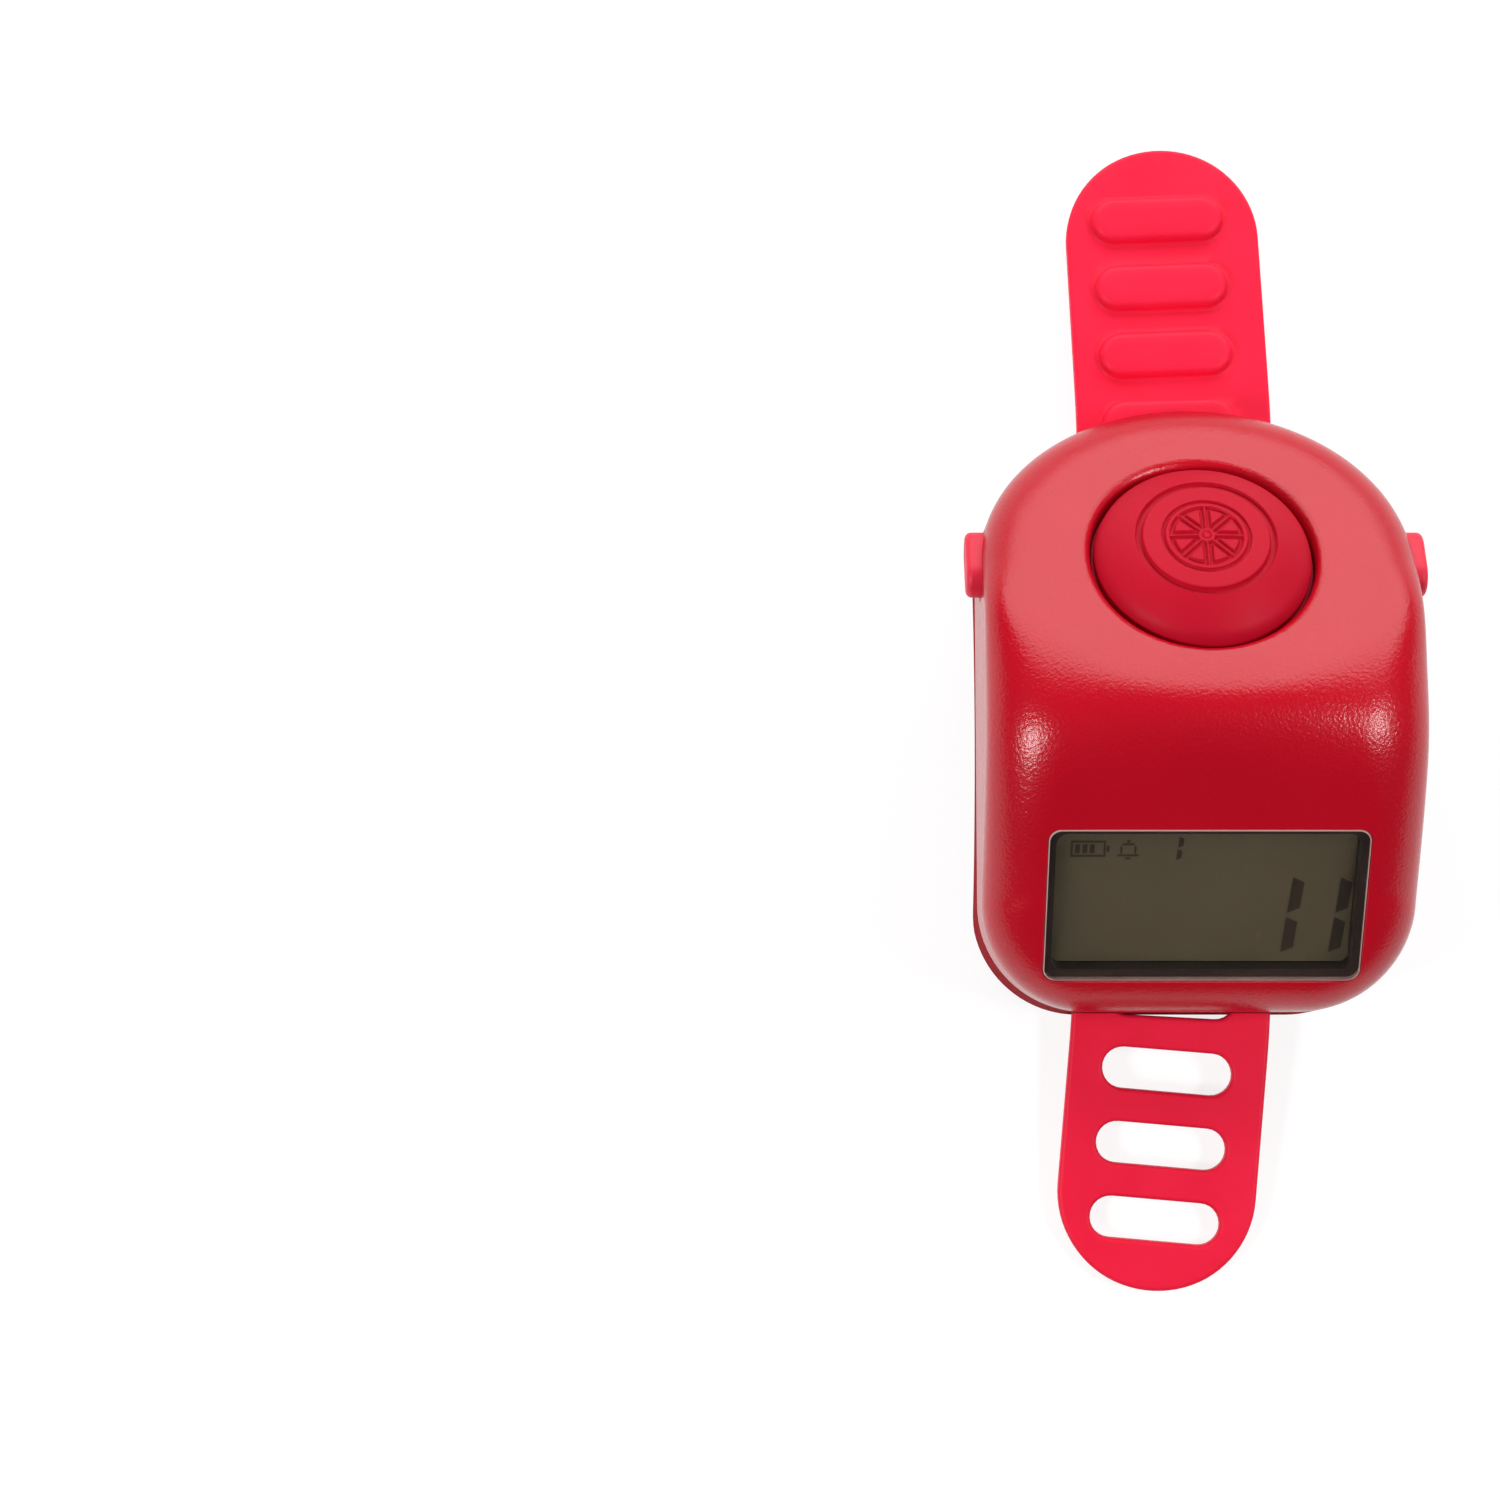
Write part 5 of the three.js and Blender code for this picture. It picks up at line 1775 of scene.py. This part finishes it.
    def _slot(self) -> Piece:
        """Build the cutter for the strap's slot through both feet.

        Returns:
            The cutter.
        """
        height = self.slot_top - self.slot_bottom
        ring = rectangle_ring(2 * self.slot_half, height, self.slot_corner, 0.0)
        middle = (self.slot_top + self.slot_bottom) / 2
        rings = []
        for y, flare in (*SLOT_MOUTH, *((-y, flare) for y, flare in reversed(SLOT_MOUTH))):
            flat = ring[:, :2] * np.array([1 + 0.5 * flare / self.slot_half, 1 + 0.5 * flare / height])
            rings.append(np.column_stack([flat[:, 0], np.full(len(flat), y), middle + flat[:, 1]]))
        return loft("slot", rings, level)

    def _rib_mouth(self) -> Piece:
        """Build the cutter that leaves room for the rib at the slot's rear mouth.

        Returns:
            The cutter.
        """
        end = self.form.length / 2
        half, low, high = self.mouth_half, self.slot_bottom + self.mouth_sill, self.mouth_top
        corners = ((-half, low), (half, low), (half, high), (-half, high))
        ends = (end + 1, end - self.mouth_depth)
        return loft("rib_mouth", [np.array([(x, y, z) for x, z in corners]) for y in ends], level)

    def _holes(self) -> list[tuple[float, float, float, float, float]]:
        """List the round holes in the cover.

        Returns:
            Place, radius and ends of each.
        """
        (head, shank), through = self._bores(), self.through
        holes = [(0.0, self.cell_y, self.cell_hole, 0.0, through)]
        holes.append((0.0, self.door_screw_y, shank, 0.0, through))
        for side in Side:
            x, y = side.value * self.front_post[0], self.front_post[1]
            holes += [(x, y, head, 0.0, self._front_level()), (x, y, shank, 0.0, through)]
            x, y = side.value * self.rear_post[0], self.rear_post[1]
            holes += [(x, y, head, -1.0, self.rear_head_depth), (x, y, shank, -1.0, through)]
        return holes

    def _bores(self) -> tuple[float, float]:
        """Return the radius of the bores for a screw's head and shank."""
        return self.case_screw.head_radius + self.screw_gap, self.case_screw.shank_radius + self.screw_gap

    def _front_level(self) -> float:
        """Return the height where a front screw's head seats."""
        return self.saddle_height(self.front_post[1]) + self.front_head_depth

    def _door_level(self) -> float:
        """Return the height where the door screw's head seats."""
        return self.saddle_height(self.door_screw_y) + self.door_head_depth

    def _pin(self, name: str, x: float, y: float, radius: float, z0: float, z1: float) -> Piece:
        """Return an upright round solid between two heights."""
        moved = np.array([x, y, 0.0])
        return turned(name, [(radius, z0), (radius, z1)], sides=48, place=lambda p: level(p) + moved)

    def _door(self) -> Piece:
        """Build the battery door, bent to the saddle, with its screw's seat.

        Returns:
            The finished door.
        """
        gap = self.door_gap
        half = self.door_width / 2 - gap
        front, rear = self.door_front + gap, self.door_rear - gap
        door = self._arch_block("battery_door_plate", half, front, rear, self.door_thickness - gap, 1.0)
        under = self._arch_block("under", half + 1, front - 1, rear + 1, self.door_under, 0.0)
        combine(door, under, Join.CUT)
        for radius, top in zip(self._bores(), (self._door_level(), self.through)):
            combine(door, self._pin("bore", 0.0, self.door_screw_y, radius, 0.0, top), Join.CUT)
        smooth(door)
        return finish_piece(door, COVER_ABS_SHADED, CASE, ["battery_door"])

    def _screws(self) -> Piece:
        """Build the five pan-head screws, each with a cross recess.

        Returns:
            The finished screws.
        """
        names = [f"case_screw_{row}_{side.name.lower()}" for row in ("front", "rear") for side in Side]
        seats = [(side.value * self.front_post[0], self.front_post[1], self._front_level()) for side in Side]
        seats += [(side.value * self.rear_post[0], self.rear_post[1], self.rear_head_depth) for side in Side]
        case_row = self._scatter("case_screws", seats, self.case_screw, seed=7)
        seats = [(0.0, self.door_screw_y, self._door_level())]
        door_row = self._scatter("door_screw", seats, self.door_screw, seed=3)
        merged = merge_meshes("underside_screws", [case_row, door_row])
        smooth(merged, crease=35.0)
        return finish_piece(merged, SCREW_STEEL, CASE, [*names, "battery_door_screw"])

    def _scatter(
        self, name: str, places: list[tuple[float, float, float]], screw: PanHeadScrew, seed: int
    ) -> Piece:
        """Stand screws of one kind on their seats."""
        seats = level(np.array(places)) - np.array([0.0, 0.0, self.screw_gap / 2])
        return ScatterOnSeats(SCREW_STEEL).apply(polished_mesh(name, seats, []), screw.build(), seed)


# Inset and height of a rib's soft foot, from the band's top
RIB_FOOT = ((-0.28, -0.02), (-0.1, 0.06), (0.0, 0.2))
LAY_STEPS = 1800
SOFTENING_STEPS = 81


@dataclass
class FingerStrap:
    """The silicone strap: slots in its front tail, ribs on its rear tail, lying open."""

    width: float = 14.7
    thickness: float = 1.3
    edge: float = 0.32
    lift: float = 1.825
    middle_half: float = 22.2
    front_tail: float = 20.53
    rear_tail: float = 22.13
    shift: float = -0.5
    lead: float = TiltedFace.lead
    front_heading: float = 5.0
    middle_heading: float = 1.1
    rear_heading: float = -2.2
    bend: float = 4.0
    slot_length: float = 9.65
    slot_width: float = 3.1
    pitch: float = 5.55
    slot_margin: float = 5.25
    rib_margin: float = 5.85
    rib_pitch: float = 5.38
    rib_shift: float = -0.4
    count: int = 4
    rib_length: float = 10.0
    rib_width: float = 3.45
    rib_height: float = 0.95
    rib_edge: float = 0.6
    rib_slope: float = 0.9
    crown_inset: float = 0.5
    crown_rise: float = 0.04
    spacing: float = 1.1
    row_share: float = 0.87
    fill_half: float = 6.6
    fill_margin: float = 0.75

    def build(self) -> Piece:
        """Build and dress the strap.

        Returns:
            The finished piece.
        """
        strap = self._band()
        combine(strap, self._ribs(), Join.ADD)
        self._lay(strap)
        smooth(strap, crease=40.0)
        return finish_piece(strap, STRAP_SILICONE, CASE, ["finger_strap"])

    @property
    def _ends(self) -> tuple[float, float]:
        """Places of the front and rear tips along the strap."""
        return -self.middle_half - self.front_tail, self.middle_half + self.rear_tail

    def _border(self, inset: float) -> Points:
        """Draw the strap's own outline.

        Args:
            inset: Distance drawn in.

        Returns:
            The outline, anticlockwise.
        """
        front, rear = self._ends
        radius = self.width / 2
        points = []
        for middle, turn in ((rear - radius, 0.0), (front + radius, math.pi)):
            for a in np.linspace(turn, turn + math.pi, 40):
                points.append(((radius - inset) * math.cos(a), middle + (radius - inset) * math.sin(a)))
        return self._spaced(np.array(points))

    def _spaced(self, ring: Points) -> Points:
        """Put further points on a ring's long straight runs.

        Args:
            ring: The ring.

        Returns:
            The ring with more points.
        """
        points = []
        for a, b in zip(ring, np.roll(ring, -1, 0)):
            steps = max(1, round(float(np.linalg.norm(b - a)) / self.spacing))
            points += [a + (b - a) * i / steps for i in range(steps)]
        return np.array(points)

    def _slot_ring(self, y: float, inset: float) -> Points:
        """Return a slot's outline, widened by the inset, clockwise."""
        ring = capsule_ring(self.slot_length + 2 * inset, self.slot_width + 2 * inset, 0.0, 14)[::-1, :2]
        return ring + np.array([0.0, y])

    def _slot_places(self) -> list[float]:
        """Return the middles of the slots, from the tip inwards."""
        return [self._ends[0] + self.slot_margin + i * self.pitch for i in range(self.count)]

    def _band(self) -> Piece:
        """Build the flat band with its slots and rounded edges, underside at zero.

        Returns:
            The band as a solid.
        """
        rounds = quarter_round(self.edge, 5)
        profile = [*reversed(rounds), *((inset, self.thickness - drop) for inset, drop in rounds)]
        loops = [self._border]
        loops += [lambda inset, y=y: self._slot_ring(y, inset) for y in self._slot_places()]
        vertices: list[Points] = []
        faces: list[Sequence[int]] = []
        bottoms, tops, total = [], [], 0
        for loop in loops:
            count = len(loop(0.0))
            for inset, z in profile:
                vertices.append(np.column_stack([self._matched(loop, inset, count), np.full(count, z)]))
            faces += ring_faces(count, len(profile), total)
            bottoms.append(np.arange(total, total + count))
            total += len(profile) * count
            tops.append(np.arange(total - count, total))
        flat = np.concatenate(vertices)
        for rings, z, flip in ((bottoms, 0.0, True), (tops, self.thickness, False)):
            extra, triangles = self._fill(flat, rings)
            flat = np.vstack([flat, np.column_stack([extra, np.full(len(extra), z)])])
            faces.extend(t[::-1] if flip else t for t in triangles)
        return polished_mesh("strap_band", flat, faces)

    def _matched(self, loop: Callable[[float], Points], inset: float, count: int) -> Points:
        """Draw a loop at an inset with the same points as at no inset.

        Args:
            loop: Draws the loop.
            inset: The inset.
            count: How many points it needs.

        Returns:
            The loop's points.
        """
        ring = loop(inset)
        if len(ring) == count:
            return ring
        outer = loop(0.0)
        front, rear = self._ends
        radius = self.width / 2
        middle = np.clip(outer[:, 1], front + radius, rear - radius)
        away = outer - np.column_stack([np.zeros(count), middle])
        return outer - away / np.linalg.norm(away, axis=1)[:, None] * inset

    def _fill(self, flat: Points, rings: list[Points]) -> tuple[Points, list[list[int]]]:
        """Fill the flat between the outer ring and the slots with even triangles.

        Args:
            flat: All points so far.
            rings: Indices of each ring's points, the outer one first.

        Returns:
            New points inside, and triangles as indices.
        """
        index = np.concatenate(rings)
        edges, start = [], 0
        for ring in rings:
            edges += [(start + i, start + (i + 1) % len(ring)) for i in range(len(ring))]
            start += len(ring)
        inner = self._interior()
        points = [Vector(p) for p in np.vstack([flat[index, :2], inner])]
        result = delaunay_2d_cdt(points, edges, [], 0, 1e-6, True)
        out_points, out_faces, origins = result[0], result[2], result[3]
        lookup = []
        for source in origins:
            first = min(source)
            lookup.append(int(index[first]) if first < len(index) else len(flat) + first - len(index))
        triangles = []
        for face in out_faces:
            centre = sum((out_points[i] for i in face), Vector((0.0, 0.0))) / 3
            if self._inside(centre.x, centre.y, self.edge):
                triangles.append([lookup[i] for i in face])
        return inner, triangles

    def _interior(self) -> Points:
        """Spread even points inside the band, clear of every edge.

        Returns:
            The points.
        """
        front, rear = self._ends
        points = []
        for row, y in enumerate(np.arange(front + 1, rear - 1, self.spacing * self.row_share)):
            for x in np.arange(-self.fill_half, self.fill_half + 0.01, self.spacing):
                place = x + (0.5 * self.spacing if row % 2 else 0.0)
                if self._inside(place, y, self.fill_margin):
                    points.append((place, y))
        return np.array(points)

    def _inside(self, x: float, y: float, margin: float) -> bool:
        """Tell whether a point lies on the band.

        Args:
            x: Its place across the band.
            y: Its place along the band.
            margin: Least distance from the edges.

        Returns:
            Whether it does.
        """
        front, rear = self._ends
        radius = self.width / 2
        middle = min(max(y, front + radius), rear - radius)
        if math.hypot(x, y - middle) > radius - margin:
            return False
        half = self.slot_length / 2 - self.slot_width / 2
        for place in self._slot_places():
            nearest = min(max(x, -half), half)
            if math.hypot(x - nearest, y - place) < self.slot_width / 2 + margin:
                return False
        return True

    def _ribs(self) -> Piece:
        """Repeat one soft rib in a row.

        Returns:
            The row of ribs.
        """
        top = self.thickness + self.rib_height
        profile = [(0.0, self.thickness / 2), *((inset, self.thickness + z) for inset, z in RIB_FOOT)]
        profile += [(inset, top - drop * self.rib_slope) for inset, drop in quarter_round(self.rib_edge, 6)]
        profile.append((self.rib_edge + self.crown_inset, top + self.crown_rise))
        size = (self.rib_length, self.rib_width)
        rib = loft("strap_ribs", [capsule_ring(size[0] - 2 * i, size[1] - 2 * i, z, 20) for i, z in profile])
        start = (self.rib_shift, self._ends[1] - self.rib_margin, 0.0)
        return RepeatRow(STRAP_SILICONE).apply(rib, self.count, start, (0.0, -self.rib_pitch, 0.0))

    def _lay(self, piece: Piece) -> None:
        """Lay the flat strap along its line: turned, leaning and drooping to the surface.

        Args:
            piece: The flat strap.
        """
        flat = np.array([v.co for v in piece.data.vertices]) / MM
        steps = np.linspace(self._ends[0] - 1, self._ends[1] + 1, LAY_STEPS)
        share_rear = self._ease((steps - self.middle_half) / self.bend)
        share_front = self._ease((-steps - self.middle_half) / self.bend)
        heading = self.middle_heading * (1 - share_rear - share_front)
        heading = np.radians(heading + self.rear_heading * share_rear + self.front_heading * share_front)
        beyond_rear = np.maximum(steps - self.middle_half, 0) / self.rear_tail
        beyond_front = np.maximum(-steps - self.middle_half, 0) / self.front_tail
        height = self.lift * np.clip(1 - beyond_rear - beyond_front, 0, 1)
        window = np.hanning(SOFTENING_STEPS)
        window /= window.sum()
        height = np.convolve(np.pad(height, SOFTENING_STEPS // 2, mode="edge"), window, mode="valid")
        pace = np.gradient(steps)
        slope = np.arctan(np.gradient(height, steps))
        x = np.cumsum(np.sin(heading) * np.cos(slope) * pace)
        y = np.cumsum(np.cos(heading) * np.cos(slope) * pace)
        x += self.shift - np.interp(0.0, steps, x)
        y += -self.lead - np.interp(0.0, steps, y)
        along = flat[:, 1]
        turn, tip, *middle = (np.interp(along, steps, line) for line in (heading, slope, x, y, height))
        lateral = np.column_stack([np.cos(turn), -np.sin(turn), np.zeros(len(along))])
        forward_level = np.column_stack([np.sin(turn), np.cos(turn), np.zeros(len(along))])
        upward = -forward_level * np.sin(tip)[:, None]
        upward[:, 2] = np.cos(tip)
        laid = np.column_stack(middle) + lateral * flat[:, :1] + upward * flat[:, 2:]
        piece.data.vertices.foreach_set("co", (laid * MM).astype(np.float32).ravel())
        piece.data.update()

    def _ease(self, value: Points) -> Points:
        """Ease from 0 to 1 about zero."""
        share = np.clip(0.5 + value / 2, 0, 1)
        return share * share * (3 - 2 * share)


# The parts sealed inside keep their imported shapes; these are the nodes that share each finish
SEALED_PARTS = (
    (GASKET_FOAM, ["window_gasket"]),
    (STRIP_RUBBER, ["rubber_strip_upper", "rubber_strip_lower"]),
    (LIGHT_GUIDE, ["backlight_plate"]),
    (BOARD_LAMINATE, ["main_board", "switch_board"]),
    (SCREW_STEEL, [f"main_board_screw_{side}" for side in ("left", "right")]),
    (SCREW_STEEL, [f"switch_board_screw_{side}" for side in ("left", "right")]),
    (EPOXY, ["controller_blob"]),
    (CELL_STEEL, ["quartz_crystal", "coin_cell"]),
    (BLACK_NYLON, [f"{place}_switch_body" for place in ("count", "left", "right")]),
    (WHITE_PLASTIC, [f"{place}_switch_plunger" for place in ("count", "left", "right")]),
    (WHITE_PLASTIC, ["lcd_bezel", "backlight_led"]),
    (CONTACT_BRASS, ["battery_contact_plus", "battery_contact_minus"]),
    (POLYIMIDE, ["board_ribbon"]),
)


class Internals:
    """The parts sealed inside."""

    def build(self) -> None:
        """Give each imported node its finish."""
        for finish, names in SEALED_PARTS:
            for name in names:
                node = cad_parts[name]
                node.data.materials.clear()
                node.data.materials.append(finish.material())
                log.info("%s: %s", name, finish.name)


LAMP_AIM = (0.0, 0.0, 10.0)


@dataclass(frozen=True)
class Lamp:
    """A soft rectangular lamp aimed at the counter: places and sizes in millimetres, power in watts."""

    name: str
    place: tuple[float, float, float]
    size: tuple[float, float]
    power: float

    def build(self) -> None:
        """Hang the lamp."""
        data = bpy.data.lights.new(self.name, "AREA")
        data.shape = "RECTANGLE"
        data.size, data.size_y = (side * MM for side in self.size)
        data.energy = self.power
        lamp = bpy.data.objects.new(self.name, data)
        lamp.location = Vector(self.place) * MM
        aim = Vector(LAMP_AIM) * MM - lamp.location
        lamp.rotation_euler = aim.to_track_quat("-Z", "Y").to_euler()
        bpy.context.scene.collection.objects.link(lamp)


LAMPS = (
    Lamp("rear_panel", (20, 410, 230), (760, 370), 3.15),
    Lamp("left_lamp", (-300, -120, 310), (75, 75), 1.1),
    Lamp("right_lamp", (270, -40, 350), (140, 50), 0.95),
)


@dataclass
class Studio:
    """Camera, soft lamps and a plain pale floor."""

    camera_place: tuple[float, float, float] = (-32.28, -31.735, 248.69)
    camera_tilt: float = 6.6
    lens: float = 79.2
    sensor: float = 36.0
    nearest: float = 5.0
    floor_size: float = 3000.0
    floor_drop: float = 0.02
    floor_colour: str = "f7f7f7"
    floor_glow: float = 0.84
    floor_grey: float = 0.2
    room_light: float = 0.05

    def build(self) -> None:
        """Build the camera, the lamps, the world and the floor."""
        self._camera()
        for lamp in LAMPS:
            lamp.build()
        self._world()
        self._floor()
        bpy.context.scene.view_settings.view_transform = "Standard"

    def _camera(self) -> None:
        """Set the camera where the photograph was taken from."""
        data = bpy.data.cameras.new("camera")
        data.lens = self.lens
        data.sensor_width = self.sensor
        data.clip_start = self.nearest * MM
        camera = bpy.data.objects.new("camera", data)
        camera.location = Vector(self.camera_place) * MM
        camera.rotation_euler = (math.radians(self.camera_tilt), 0.0, 0.0)
        bpy.context.scene.collection.objects.link(camera)
        bpy.context.scene.camera = camera

    def _world(self) -> None:
        """Fill the room with dim, even light."""
        world = bpy.data.worlds.new("room")
        bpy.context.scene.world = world
        world.use_nodes = True
        background = next(n for n in world.node_tree.nodes if n.type == "BACKGROUND")
        inputs = {"Color": linear_colour("ffffff"), "Strength": self.room_light}
        fill_inputs(world.node_tree, background, inputs)

    def _floor(self) -> None:
        """Lay a white paper floor that looks white to the eye and still takes the shadow."""
        half, low = self.floor_size / 2, -self.floor_drop
        corners = np.array([(-half, -half, low), (half, -half, low), (half, half, low), (-half, half, low)])
        floor = polished_mesh("paper_floor", corners, [(0, 1, 2, 3)])
        paper = bpy.data.materials.new("white_paper")
        paper.use_nodes = True
        tree = paper.node_tree
        tree.nodes.clear()
        ray = add_node(tree, "ShaderNodeLightPath").outputs
        through = {0: ray["Is Glossy Ray"], 1: ray["Is Transmission Ray"]}
        through = add_node(tree, "ShaderNodeMath", through, operation="MAXIMUM").outputs[0]
        seen = {0: ray["Is Camera Ray"], 1: through}
        seen = add_node(tree, "ShaderNodeMath", seen, operation="MAXIMUM").outputs[0]
        white = {"Color": linear_colour("ffffff"), "Strength": self.floor_glow}
        glow = add_node(tree, "ShaderNodeEmission", white).outputs[0]
        thin = add_node(tree, "ShaderNodeBsdfDiffuse", {"Color": (*[self.floor_grey] * 3, 1.0)}).outputs[0]
        look = add_node(tree, "ShaderNodeAddShader", {0: glow, 1: thin}).outputs[0]
        pale = {"Color": linear_colour(self.floor_colour)}
        plain = add_node(tree, "ShaderNodeBsdfDiffuse", pale).outputs[0]
        mixed = add_node(tree, "ShaderNodeMixShader", {0: seen, 1: plain, 2: look}).outputs[0]
        add_node(tree, "ShaderNodeOutputMaterial", {"Surface": mixed})
        floor.data.materials.append(paper)


def main() -> None:
    """Build the studio and every piece of the counter, in order."""
    logging.basicConfig(level=logging.INFO, format="%(name)s: %(message)s")
    Studio().build()
    UpperShell().build()
    CountButton().build()
    for side in Side:
        SideButton(side).build()
    Display().build()
    LowerCase().build()
    FingerStrap().build()
    Internals().build()


if __name__ == "__main__":
    main()
